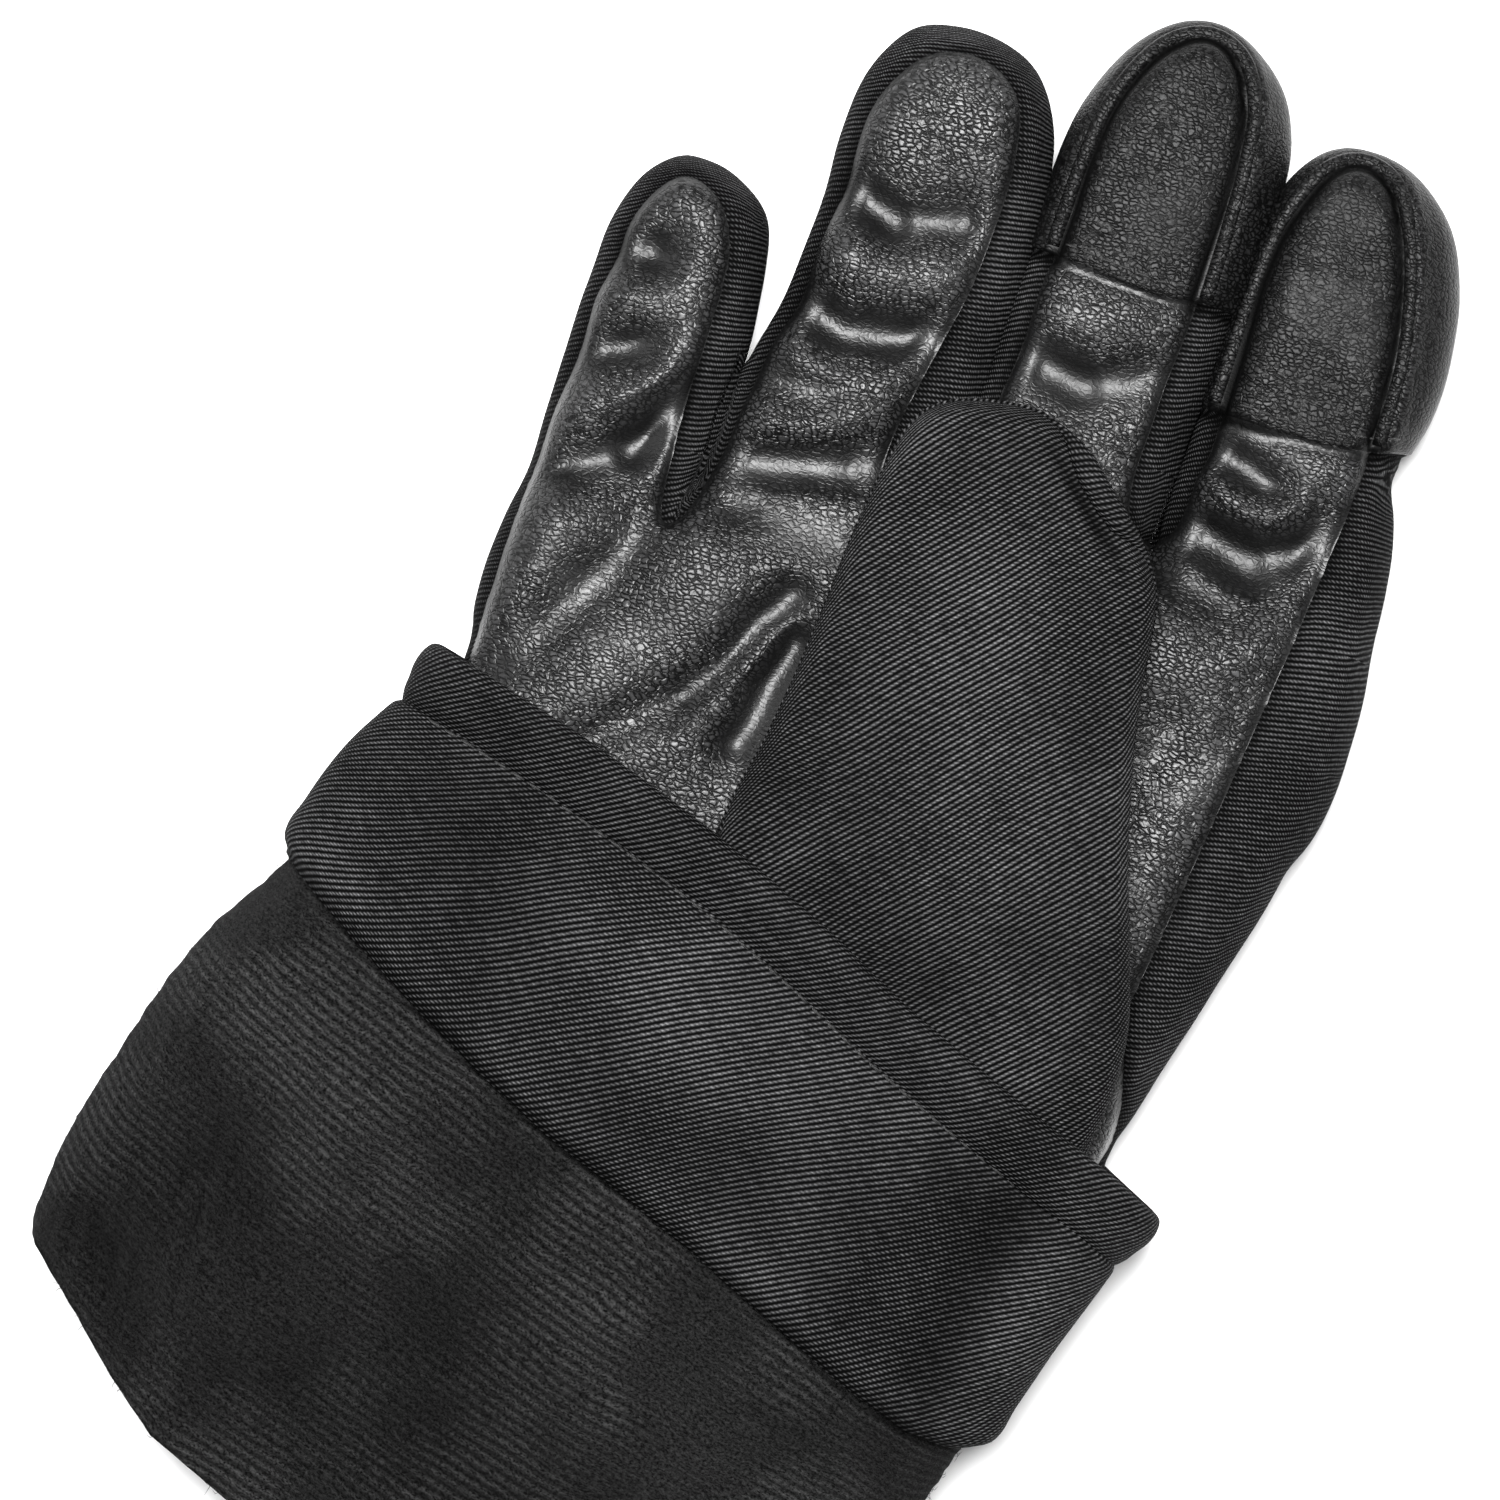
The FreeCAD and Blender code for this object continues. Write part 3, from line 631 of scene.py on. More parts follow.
def twill_material(name, degrees, grey=0.018, pitch=0.94):
    """Steep diagonal ribs of yarn, each rib broken by the yarns that cross it."""
    g = Graph(name, (grey,) * 3, 0.85, Specular_IOR_Level=0.04)
    place = g.weave_place()
    moved = g.wandered(place, 0.03, 1.0, (2.4, 2.4, 0.0))
    along = g.add("ShaderNodeSeparateXYZ", {0: g.turned(moved, -degrees)})
    turn = 2 * math.pi
    jitter = g.times(g.noise(moved, 1.4, 2.0, 0.6), 1.6)
    rib = g.waves(g.plus(g.times(along.outputs["Y"], turn / pitch), jitter))
    lean = g.times(along.outputs["Y"], 0.9)
    beads = g.waves(g.times(g.plus(along.outputs["X"], lean), turn / (pitch * 0.8)))
    open_weave = g.ramp(g.noise(place, 0.035, 2.0), (0.4, 0.5), (0.6, 1.0))
    broken = g.times(g.math("SUBTRACT", beads, 1.0), open_weave)
    yarn = g.times(rib, g.plus(g.times(broken, 0.75), 1.0))
    fluff = g.noise(moved, 3.4, 2.0, 0.6)
    g.set("Normal", g.bump(g.plus(yarn, g.times(fluff, 0.25)), 0.00026))
    uneven = g.plus(g.times(g.noise(place, 0.05, 3.0, 0.6), 0.7), 0.65)
    patchy = g.noise(g.turned(moved, -degrees, (0.35, 1.0, 1.0)), 1.1, 2.0, 0.6)
    # painted shade in the grooves between ribs and painted light on the ribs and beads, varied at random
    # by the fluff and patchy noise
    lit = g.times(g.math("POWER", yarn, 2.0), g.plus(g.times(fluff, 1.4), 0.1))
    lit = g.times(lit, g.plus(g.times(patchy, 2.4), -0.1))
    tone = g.times(g.plus(g.times(lit, 6.0), 0.02), uneven)
    g.coloured(g.times(tone, grey), SLIGHTLY_BLUE)
    return g.material


FLEECE_COURSE = 1.67


def fleece_material(name, grey=0.0055):
    """A brushed knit: soft courses under a nap, with stray pale fibres."""
    g = Graph(name, (grey,) * 3, 0.95, Specular_IOR_Level=0.03, Sheen_Weight=0.02,
              Sheen_Roughness=0.45)
    place = g.weave_place()
    moved = g.wandered(place, 0.06, 2.0, (3.0, 3.0, 0.0))
    along = g.add("ShaderNodeSeparateXYZ", {0: moved})
    course = g.waves(g.times(along.outputs["Y"], 2 * math.pi / FLEECE_COURSE))
    nap = g.noise(g.turned(moved, 0, (1.0, 1.6, 1.0)), 1.7, 4.0, 0.7)
    clear = g.times(course, g.ramp(g.noise(place, 0.035, 2.0), (0.42, 0.15), (0.6, 1.0)))
    g.set("Normal", g.bump(g.plus(g.times(clear, 0.55), g.times(nap, 1.1)), 0.0006))
    lint = g.noise(g.turned(place, 30, (1.0, 5.0, 1.0)), 0.9, 2.0, 0.7)
    lint = g.ramp(lint, (0.72, 0.0), (0.8, 1.0))
    tufts = g.ramp(nap, (0.38, 0.0), (0.66, 1.0))
    # painted light on the courses and tufts and painted shade between them; the pale lint is the fibres'
    # own colour
    tone = g.times(tufts, g.plus(clear, 0.35))
    tone = g.plus(g.times(tone, 7.0), g.plus(g.times(lint, 7.0), 0.1))
    g.coloured(g.times(tone, grey))
    return g.material


def thread_material():
    """Twisted sewing thread."""
    g = Graph("thread", (0.03,) * 3, 0.5, Specular_IOR_Level=0.5)
    twist = g.add("ShaderNodeTexWave", {"Vector": g.object_place(), "Scale": 1.6,
                  "Distortion": 0.5}, bands_direction="DIAGONAL").outputs["Fac"]
    g.set("Normal", g.bump(twist, 0.0001))
    # painted shade in the twist's grooves, lighter on its ridges
    g.set("Base Color", g.ramp(twist, (0.0, 0.006), (1.0, 0.032)))
    return g.material


def elastic_material():
    """A woven elastic band with its ribs across it."""
    g = Graph("elastic", (0.05,) * 3, 0.7)
    ribs = g.add("ShaderNodeTexWave", {"Vector": g.object_place(), "Scale": 0.8}).outputs["Fac"]
    g.set("Normal", g.bump(ribs, 0.0003))
    # painted shade between the ribs, lighter on their tops
    g.set("Base Color", g.ramp(ribs, (0.0, 0.004), (1.0, 0.014)))
    return g.material


# name, grey, pebbles per mm, relief in metres, least and greatest roughness, shine
LEATHER_PALM = leather_material("palm_leather", 0.030, 0.90, 0.00013, 0.33, 0.41, 0.30)
LEATHER_CAP = leather_material("cap_leather", 0.012, 0.95, 0.00011, 0.40, 0.48, 0.15)
TWILL_THUMB = twill_material("twill_thumb", 49.0)
TWILL_SIDE = twill_material("twill_side", 12.0, 0.016, 0.90)
TWILL_CUFF = twill_material("twill_cuff", 45.0, 0.0145)
TWILL_HEM = twill_material("twill_hem", 50.0, 0.0145)
TWILL_WELT = twill_material("twill_welt", 68.0, 0.016)
FLEECE = fleece_material("fleece")
THREAD = thread_material()
ELASTIC = elastic_material()

# ------------------------------------------------------------------ hand and fingers

LEATHER_LOOP = smooth_loop(LEATHER)
SEAM_Z = 13.0  # the height of the seam round the palm leather
HAND_EDGE, FINGER_EDGE, THUMB_EDGE = 9.0, 8.6, 4.6  # how far in each stuffed shape is rounded
WEB_REACH = 5.0  # how far the fingers' roots melt into the palm
ROOT_BELOW_FOLD = 9.0  # a finger's own skin starts this far below its middle fold
CUFF_AT = (-6.2, -34.0)
CUFF_TURN = math.radians(-17.7)
PALM_CLOTH, SIDE_CLOTH = (LEATHER_PALM, "palm_leather"), (TWILL_SIDE, "twill")
CAP_CLOTH = (LEATHER_CAP, "cap_leather")


def leather_level(points):
    """Negative on the leather of the palm side."""
    distance = loop_distance(points[:, 0], points[:, 1], LEATHER_LOOP)[0]
    return np.maximum(distance, SEAM_Z - points[:, 2])


def back_level(points):
    return points[:, 2] - BACK_LINE


def hem_level(hem):
    return lambda points: points[:, 1] - against(hem, points[:, 0])


def across(y):
    return lambda points: points[:, 1] - y


def shape_bag(skin, creases):
    """Push an inner layer down under the creases of the cloth above it."""
    x, y, z = skin.rest.T
    up = np.clip(skin.out[:, 2], 0, 1)
    depth = np.maximum(bumps(x, y, creases), 0) * (0.25 + 0.75 * up) * np.clip((z - 4) / 6, 0, 1)
    skin.points = skin.rest - skin.out * depth[:, None]
    skin.finish()


def cap_relief(above, leather, up):
    """How far a touch cap stands off the finger, and the painted light and shade at its edges: lighter
    on the rolled edge, darker in the groove inside it and under its hem.
    """
    step = np.clip(above / 0.8 + 0.5, 0, 1)
    inside = np.exp(-((leather + 1.0) / 0.9) ** 2) * step * up
    rolled = 0.9 * np.exp(-((leather - 1.4) / 1.5) ** 2) * step * up
    under = np.exp(-((above + 0.9) / 1.0) ** 2)
    return (0.75 * step - 0.45 * under + rolled - inside,
            0.35 * rolled - 0.75 * inside - 0.8 * under)


def shape_cloth(skin, creases, cap=None):
    """Crease the leather, puff it between seams and pinch it in at the seams."""
    x, y, z = skin.rest.T
    up = np.clip(skin.out[:, 2], 0, 1)
    leather = loop_distance(x, y, LEATHER_LOOP)[0]
    inner = np.clip(-leather / 5.0, 0, 1)
    depth = bumps(x, y, creases) * (0.25 + 0.75 * up) * (0.35 + 0.65 * inner)
    puff = 0.8 * (1 - np.exp(-np.maximum(-leather, 0) / 4.0)) * up
    seam = np.abs(np.maximum(leather, SEAM_Z - z))
    groove = 0.75 * np.exp(-(seam / 1.15) ** 2)
    groove = groove + 0.5 * np.exp(-((z - BACK_LINE) / 1.1) ** 2)
    broad = noise_at(skin.rest, 21.0, 1) * 0.9 + noise_at(skin.rest, 9.0, 2) * 0.35
    fine = noise_at(skin.rest, 3.6, 3) * 0.10
    move = puff - depth - groove + (broad + fine) * (0.12 + 0.88 * up) + 0.35
    # painted shade, darker in the creases and seam grooves and lighter on the ridges
    shade = 1 - 0.28 * depth - 0.75 * groove
    if cap is not None:
        raised, lit = cap_relief(cap(skin.rest), leather, up)
        move, shade = move + raised, shade + lit
    floor = np.clip((z - 1.0) / 6.0, 0, 1)
    skin.points = skin.rest + skin.out * (move * floor)[:, None]
    skin.points[:, 2] = np.clip(skin.points[:, 2], 0.0, None)
    skin.finish(shade)


def joined_to_palm(lattice, names):
    """The palm with some of the fingers, as one rounded field."""
    palm = lattice.pillow(PALM, 0.0, PALM_TOP - 1.0, HAND_EDGE)
    fingers = [lattice.pillow(FINGER_OUTLINES[name], 0.0, FINGER_TOP - 0.4, FINGER_EDGE)
               for name in names]
    return smooth_min(palm, np.minimum.reduce(fingers), WEB_REACH)


def cut_height(name):
    return FINGERS[name][0] - ROOT_BELOW_FOLD


FINGER_LIMITS = (-48.5, -9.5, 28.1)
FINGERS_START = 22  # above this y a place of the hand belongs to a finger


def finger_of(x):
    """The finger whose root lies under x."""
    return np.select([x < limit for limit in FINGER_LIMITS], [0, 1, 2], 3)


def root_level(points):
    """Negative on the hand's side of the places where the fingers' own skins begin."""
    heights = np.array([cut_height(name) for name in FINGER_OUTLINES])
    return points[:, 1] - heights[finger_of(points[:, 0])]


def cuff_axes(points):
    """u across the cuff and v towards the fingers, for places drawn about the wrist."""
    dx, dy = points[:, 0] - CUFF_AT[0], points[:, 1] - CUFF_AT[1]
    c, s = math.cos(CUFF_TURN), math.sin(CUFF_TURN)
    return dx * c + dy * s, -dx * s + dy * c


def cuff_level(v):
    """Negative further from the fingers than v on the cuff."""
    return lambda points: cuff_axes(points)[1] - v


WRIST_V, ELASTIC_V, THUMB_ROOT_V = -7.0, 14.5, -3.0
SIDE_STRIPS = {
    "pinky_side_panel": (-90, -62), "fourchette_pinky_ring": (-62, -26),
    "fourchette_ring_middle": (-26, 10), "fourchette_middle_index": (10, 47),
    "index_side_panel": (47, 90),
}
# an inner layer of the hand: its node, its depth below the cloth, slot, material, v of its end
HAND_LAYERS = {
    "padding_of_hand": ("hand_padding", 3.0, "padding", FLEECE, ELASTIC_V),
    "lining_of_hand": ("hand_lining", 5.4, "fleece_lining", FLEECE, WRIST_V),
    "wrist_elastic_band": ("wrist_elastic", 3.0, "elastic", ELASTIC, WRIST_V),
}


def hand_lattice(cell=CELL):
    return Lattice((-82, -64, -3), (74, 72, 33), cell)


def sorted_faces(skin):
    """Masks of a skin's leather, side and back faces."""
    middle = skin.middle()
    leather = leather_level(middle) < 0
    back = (back_level(middle) < 0) & ~leather
    return middle, {"front": leather, "sides": ~leather & ~back, "back": back}


def build_hand():
    lattice = hand_lattice()
    skin = skin_of(joined_to_palm(lattice, FINGER_OUTLINES), lattice, PALM, PALM_TOP)
    owner = np.where(skin.rest[:, 1] > FINGERS_START, finger_of(skin.rest[:, 0]), -1)
    for number, outline in enumerate(FINGER_OUTLINES.values()):
        own = owner == number
        skin.weave[own] = unrolled(skin.rest[own], skin.out[own], outline, PALM_TOP)
    skin.cut(cuff_level(WRIST_V), keep=1)
    for name in FINGER_OUTLINES:
        skin.cut(across(cut_height(name)))
    skin.triangles = skin.triangles[root_level(skin.middle()) < 0]
    skin.cut(leather_level)
    skin.cut(back_level)
    shape_cloth(skin, CREASES + SIDE_FOLDS)
    middle, part = sorted_faces(skin)
    made = [panel(skin, "palm", part["front"], *PALM_CLOTH, ["palm_leather"]),
            panel(skin, "back_of_hand", part["back"], *SIDE_CLOTH, ["hand_back"])]
    for node, (low, high) in SIDE_STRIPS.items():
        strip = part["sides"] & (middle[:, 0] > low) & (middle[:, 0] <= high)
        made.append(panel(skin, node + "_cloth", strip, *SIDE_CLOTH, [node]))
    for obj in made + hand_layers():
        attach(obj, "hand")


def hand_layers():
    """The padding, the lining and the wrist elastic inside the hand."""
    lattice = hand_lattice(HAND_INNER_CELL)
    inner = joined_to_palm(lattice, FINGER_OUTLINES)
    made = []
    for name, (node, depth, slot, material, end) in HAND_LAYERS.items():
        bag = skin_of(inner + depth, lattice)
        bag.cut(root_level, keep=-1)
        bag.cut(cuff_level(end), keep=1)
        if slot == "elastic":
            bag.cut(cuff_level(ELASTIC_V), keep=-1)
        shape_bag(bag, CREASES)
        obj = panel(bag, name, None, material, slot, [node])
        made.append(obj)
    return made


def finger_lattice(name, cell=CELL):
    loop = smooth_loop(FINGER_OUTLINES[name])
    (x0, _), (x1, y1) = loop.min(0), loop.max(0)
    return Lattice((x0 - 4, cut_height(name) - 5, -3), (x1 + 4, y1 + 4, 30), cell)


def finger_bag(name, split, part, keep):
    """The fleece inside one half of a finger."""
    lattice = finger_lattice(name, FINGER_INNER_CELL)
    bag = skin_of(joined_to_palm(lattice, [name]) + 3.0, lattice)
    bag.cut(across(cut_height(name)), keep=1)
    bag.cut(across(split), keep=keep)
    shape_bag(bag, CREASES)
    return panel(bag, f"{name}_{part}_fleece", None, FLEECE, "fleece_lining",
                 [f"{name}_{part}_lining"])


def build_finger(name):
    middle_fold, tip_fold, hem = FINGERS[name]
    lattice = finger_lattice(name)
    skin = skin_of(joined_to_palm(lattice, [name]), lattice, FINGER_OUTLINES[name], FINGER_TOP)
    skin.cut(across(cut_height(name)), keep=1)
    split = (middle_fold + tip_fold) / 2
    skin.cut(across(split))
    cap = hem_level(hem) if hem else None
    if cap:
        skin.cut(cap)
    skin.cut(leather_level)
    skin.cut(back_level)
    shape_cloth(skin, CREASES + (SIDE_FOLDS if name == "index" else []), cap)
    middle, parts = sorted_faces(skin)
    tip = middle[:, 1] > split
    end = tip & (cap(middle) > 0) if cap else tip
    roots, ends, under = [], [], []
    for part, mask in parts.items():
        cloth = PALM_CLOTH if part == "front" else SIDE_CLOTH
        node = f"{name}_touch_cap" if cap and part == "front" else f"{name}_tip_{part}"
        roots.append(panel(skin, f"{name}_lower_{part}", mask & ~tip, *cloth,
                           [f"{name}_middle_{part}"]))
        ends.append(panel(skin, f"{name}_upper_{part}", mask & end,
                          *(CAP_CLOTH if cap else cloth), [node]))
        if cap:
            under.append(panel(skin, f"{name}_under_cap_{part}", mask & tip & ~end, *cloth))
    roots.append(finger_bag(name, split, "middle", -1))
    ends += under + [finger_bag(name, split, "tip", 1)]
    for obj in roots:
        bend(obj)
    for obj in ends:
        bend(obj)


# ------------------------------------------------------------------ thumb

THUMB_FOLDS = [
    (-24, -8, -12, -14, 6.0, 0.8), (4, 30, 14, 8, 14.0, -0.9), (-14, 20, -6, -6, 9.0, 0.6),
    (22, 22, 34, -6, 7.0, 0.7), (30, -22, 44, -26, 6.0, 0.8), (-6, -26, 16, -34, 6.0, 0.9),
]
THUMB_FOLD_Y = -23.0  # the fold that the thumb lifts about; the gusset lies below it
THUMB_SEAM_Z = (THUMB_LOW + THUMB_TOP) / 2
# the rolled seam round the thumb; its z is laid on the cloth
THUMB_SEAM = [(-24.8, -21, 40.5), (-22.4, -2, 40), (-21, 15, 40), (-20.4, 32, 40), (-18.8, 45, 40.5),
              (-17.2, 52.8, 41.5), (-13.6, 57.8, 42.5), (-7, 60.8, 43.3), (0, 62.2, 44),
              (5.4, 62, 44.8), (11.8, 59.4, 45.6), (18.8, 53.8, 45.8), (25, 48.2, 45.4),
              (28.6, 44.4, 44), (30.6, 40, 42), (32.4, 33, 41), (34.8, 19, 40.5), (40.4, -1, 40),
              (46, -16, 40), (48.4, -21.5, 40)]


def thumb_top(x, y):
    """The thumb lies flat, a little lower at its tip, and dips under the hem at its root."""
    v = cuff_axes(np.stack([x.ravel(), y.ravel()], 1))[1].reshape(x.shape)
    dip = 9.0 * (1 - np.clip((v + 2) / 26, 0, 1)) ** 1.6
    tip = 2.0 * np.clip((y - 30) / 32, 0, 1) ** 2
    left = 2.0 * np.clip((-8 - x) / 16, 0, 1) ** 2
    return THUMB_TOP - 0.8 - dip - tip - left


def thumb_field(cell=CELL):
    lattice = Lattice((-32, -62, THUMB_LOW - 4), (60, 66, THUMB_TOP + 3), cell)
    top = thumb_top(lattice.x, lattice.y)
    return lattice.pillow(THUMB, THUMB_LOW - 0.3, top, THUMB_EDGE), lattice


def shape_thumb(skin):
    """Fold the thumb's cloth and sink a groove beside the bold part of its rolled seam."""
    x, y, z = skin.rest.T
    up = np.clip(skin.out[:, 2], 0, 1)
    move = -bumps(x, y, THUMB_FOLDS) * up + noise_at(skin.rest, 24.0, 5) * 0.7 * up
    seam = 0.45 * np.exp(-((z - THUMB_SEAM_Z) / 1.0) ** 2)
    move += noise_at(skin.rest, 8.0, 6) * 0.15 - seam - 0.2
    edge = loop_distance(x, y, smooth_loop(THUMB))[0]
    bold = (np.hypot(x - 17.0, y - 52.0) / 12.0) ** 4
    groove = np.exp(-((edge + 4.6) / 1.1) ** 2 - bold) * up
    skin.points = skin.rest + skin.out * (move - 1.3 * groove)[:, None]
    # painted shade in the folds and the groove, painted light on the thumb's bulges
    skin.finish(1 + 0.2 * (move + 0.2) - 0.75 * groove)


def thumb_bag(name, node, keep):
    """The fleece inside the thumb (keep 1) or inside its gusset (keep -1)."""
    field, lattice = thumb_field(FINGER_INNER_CELL)
    bag = skin_of(field + 3.0, lattice)
    bag.cut(cuff_level(THUMB_ROOT_V), keep=1)
    bag.cut(across(THUMB_FOLD_Y), keep=keep)
    bag.finish()
    return panel(bag, name, None, FLEECE, "fleece_lining", [node])


def build_thumb():
    skin = skin_of(*thumb_field(), THUMB, thumb_top)
    skin.cut(cuff_level(THUMB_ROOT_V), keep=1)
    skin.cut(across(THUMB_FOLD_Y))
    skin.cut(lambda points: points[:, 2] - THUMB_SEAM_Z)
    shape_thumb(skin)
    middle = skin.middle()
    top, root = middle[:, 2] > THUMB_SEAM_Z, middle[:, 1] < THUMB_FOLD_Y
    gusset = panel(skin, "thumb_root", root, TWILL_THUMB, "twill", ["thumb_gusset"])
    cloth = [panel(skin, "thumb_back_cloth", top & ~root, TWILL_THUMB, "twill", ["thumb_back"]),
             panel(skin, "thumb_front_leather", ~top & ~root, *PALM_CLOTH, ["thumb_front"])]
    moving = cloth + [thumb_bag("thumb_fleece", "thumb_lining", 1)]
    for obj in (gusset, thumb_bag("thumb_root_fleece", "thumb_gusset_lining", -1)):
        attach(obj, "hand")
    moving.append(thumb_welt(surface_tree(*cloth)))
    for obj in moving:
        bend(obj)


def side_and_lift(path):
    """Directions across a path and up from it."""
    tangent = unit(np.gradient(path, axis=0))
    side = unit(np.cross(tangent, (0, 0, 1)))
    return side, np.cross(side, tangent)


def ring_quads(base, count, sides):
    """The faces between count rings of points."""
    return [(a + n, a + (n + 1) % sides, a + sides + (n + 1) % sides, a + sides + n)
            for a in range(base, base + (count - 1) * sides, sides) for n in range(sides)]


def sweep(name, path, width, height, material, sides=10):
    """A soft cord of elliptic section along a path; width and height may vary along it."""
    count = len(path)
    side, lift = side_and_lift(path)
    width, height = (np.broadcast_to(np.asarray(size, float), (count,)) for size in (width, height))
    length = length_along(path)
    rings, weave = [], []
    for n in range(sides):
        angle = 2 * math.pi * n / sides
        rings.append(path + side * (width / 2 * math.cos(angle))[:, None]
                     + lift * (height / 2 * math.sin(angle))[:, None])
        weave.append(np.stack([length, n / sides * math.pi * (width + height) / 2,
                               np.zeros(count)], 1))
    points, weave = (np.stack(rows, 1).reshape(-1, 3) for rows in (rings, weave))
    first, last = len(points), len(points) - sides
    caps = []
    for n in range(sides):
        m = (n + 1) % sides
        caps += [(first, m, n), (first + 1, last + n, last + m)]
    points = np.concatenate([points, path[:1], path[-1:]])
    weave = np.concatenate([weave, weave[:1], weave[-1:]])
    triangles = np.concatenate([halves(np.array(ring_quads(0, count, sides))), caps])
    return new_mesh(name, points, triangles, weave, None, material)


def thumb_welt(tree):
    """The rolled seam along the thumb's edge, boldest at the upper right of its tip."""
    loop = smooth_path(THUMB_SEAM)
    away = np.hypot(loop[:, 0] - 17.5, loop[:, 1] - 55.0)
    bold = np.exp(-(away / 10.5) ** 4)
    size = 0.55 + 3.7 * bold
    middle = loop.mean(0)
    for place, wide, share in zip(loop, size, bold):
        inward = middle[:2] - place[:2]
        place[:2] += inward / np.linalg.norm(inward) * 1.6 * share
        place[2] += 5.0 * share
        near, normal, _, _ = tree.find_nearest(Vector(to_frame([place])[0]))
        place[:] = from_frame(near) + np.array(normal) * 0.3 * wide
    obj = sweep("thumb_rolled_seam", loop, size, size * 0.85, TWILL_WELT, sides=14)
    return stands_for(obj, "twill", "thumb_welt")


# ------------------------------------------------------------------ cuff

HEM_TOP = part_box("cuff_hem_roll")[1].z / MM
FACING_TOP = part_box("cuff_facing")[1].z / MM
LINING_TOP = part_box("cuff_lining")[1].z / MM
# v of the hem's upper edge, of the stitch line and of the facing's lower edge, against u
HEM_EDGE = [(-78, 3.0), (-63, 4.5), (-48, 5.7), (-32, 6.1), (-21, 6.2), (-11, 5.9), (5, 4.6),
            (21, 2.7), (37, 1.6), (54, 1.0), (66, 0.7), (78, -0.4)]
FACING_EDGE = [(-78, -39.5), (-64, -42.6), (-47, -46), (-30, -48.6), (-14, -50.2), (2, -50.6),
               (18, -51.2), (34, -52.4), (50, -53.6), (64, -53.8), (72, -51.5), (78, -47)]


def cuff_point(u, v, z):
    c, s = math.cos(CUFF_TURN), math.sin(CUFF_TURN)
    return np.stack([CUFF_AT[0] + u * c - v * s, CUFF_AT[1] + u * s + v * c, z], -1)


def section(count, half, low, high, corner):
    """A flattened round section: u and z of evenly spaced places, from the left, over the top."""
    angle = np.linspace(0, 2 * math.pi, 1440, endpoint=False)
    power = 2.0 / corner
    c, s = -np.cos(angle), np.sin(angle)
    u = half * np.sign(c) * np.abs(c) ** power
    z = (high + low) / 2 + (high - low) / 2 * np.sign(s) * np.abs(s) ** power
    step = np.hypot(np.diff(np.append(u, u[0])), np.diff(np.append(z, z[0])))
    length = np.concatenate([[0], np.cumsum(step)])
    even = np.linspace(0, length[-1], count, endpoint=False)
    return (np.interp(even, length, np.append(u, u[0])),
            np.interp(even, length, np.append(z, z[0])), even)


def tube_surface(rows, count, columns):
    """Grids of u and v, weave places, places and outward directions over a tube."""
    grid, weave = [], []
    for t in np.linspace(0, 1, count):
        centre, half, low, high, corner, v_of = rows(t)
        u, z, arc = section(columns, half, low, high, corner)
        v = v_of(u)
        grid.append(np.stack([u + centre, v, z], 1))
        weave.append(np.stack([arc - arc[columns // 4], v, z], 1))
    grid, weave = np.array(grid), np.array(weave)
    points = cuff_point(grid[..., 0], grid[..., 1], grid[..., 2])
    run = np.linalg.norm(np.diff(points, axis=0), axis=2).mean(1)
    weave[..., 1] = weave[0, :, 1] - np.concatenate([[0], np.cumsum(run)])[:, None]
    out = np.cross(np.roll(points, -1, 1) - np.roll(points, 1, 1), np.gradient(points, axis=0))
    out /= np.maximum(np.linalg.norm(out, axis=2), 1e-9)[..., None]
    if ((points - points.mean(1, keepdims=True)) * out).sum() < 0:
        out = -out
    return grid, weave, points, out


def tube_quads(count, columns):
    """The faces of a tube's outside, its inside and its two rims."""
    index = np.arange(count * columns).reshape(count, columns)
    a, b = index[:-1], index[1:]
    shell = np.stack([a, np.roll(a, -1, 1), np.roll(b, -1, 1), b], -1).reshape(-1, 4)
    quads = [shell, shell[:, ::-1] + count * columns]
    for row, flip in ((index[0], 1), (index[-1], -1)):
        inner = row + count * columns
        rim = np.stack([row, inner, np.roll(inner, -1), np.roll(row, -1)], -1)
        quads.append(rim[:, ::flip])
    return np.concatenate(quads)


def tube(name, rows, material, slot, node, crease, thick=1.2, depth=0.28):
    """A cloth tube.  rows(t) gives centre, half width, low, high, corner and v(u) at 0 to 1."""
    count, columns = ((60, 360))
    grid, weave, points, out = tube_surface(rows, count, columns)
    move = crease(grid[..., 0], grid[..., 1], out[..., 2], points)
    outer = points + out * move[..., None]
    outer[..., 2] = np.maximum(outer[..., 2], 0.0)
    both = [np.concatenate([rows_of.reshape(-1, 3) for rows_of in pair])
            for pair in ((outer, outer - out * thick), (weave, weave))]
    # painted shade in the tube's hollows and painted light on its bulges; depth sets how strong they are
    shade = np.clip(1 + depth * (move - move.mean()), 0.25, 1.4).ravel()
    obj = new_mesh(name, both[0], halves(tube_quads(count, columns)), both[1], None, material,
                   np.concatenate([shade] * 2))
    if not outward(obj):
        obj.data.flip_normals()
    stands_for(obj, slot, node)
    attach(obj, "hand")
    return obj


def outward(obj):
    """True when a closed mesh's normals point out of it."""
    return sum(face.center.dot(face.normal) * face.area for face in obj.data.polygons) > 0


# the hem's cross-section: how far below its upper edge, and how far below its crest
HEM_PROFILE = [(6.5, 9.0), (3.2, 7.4), (0.8, 5.2), (0.0, 3.0), (0.7, 1.0), (2.6, 0.0), (4.8, 0.3),
               (7.0, 1.6), (9.0, 2.7), (10.6, 4.2), (11.4, 5.2)]
HEM_CREST = HEM_TOP + 2.0
HALF = 76.6  # half the cuff's width
CUFF_CENTRE = -0.9
GROOVE_BELOW_HEM, STITCHES_BELOW_HEM = 10.3, 11.3


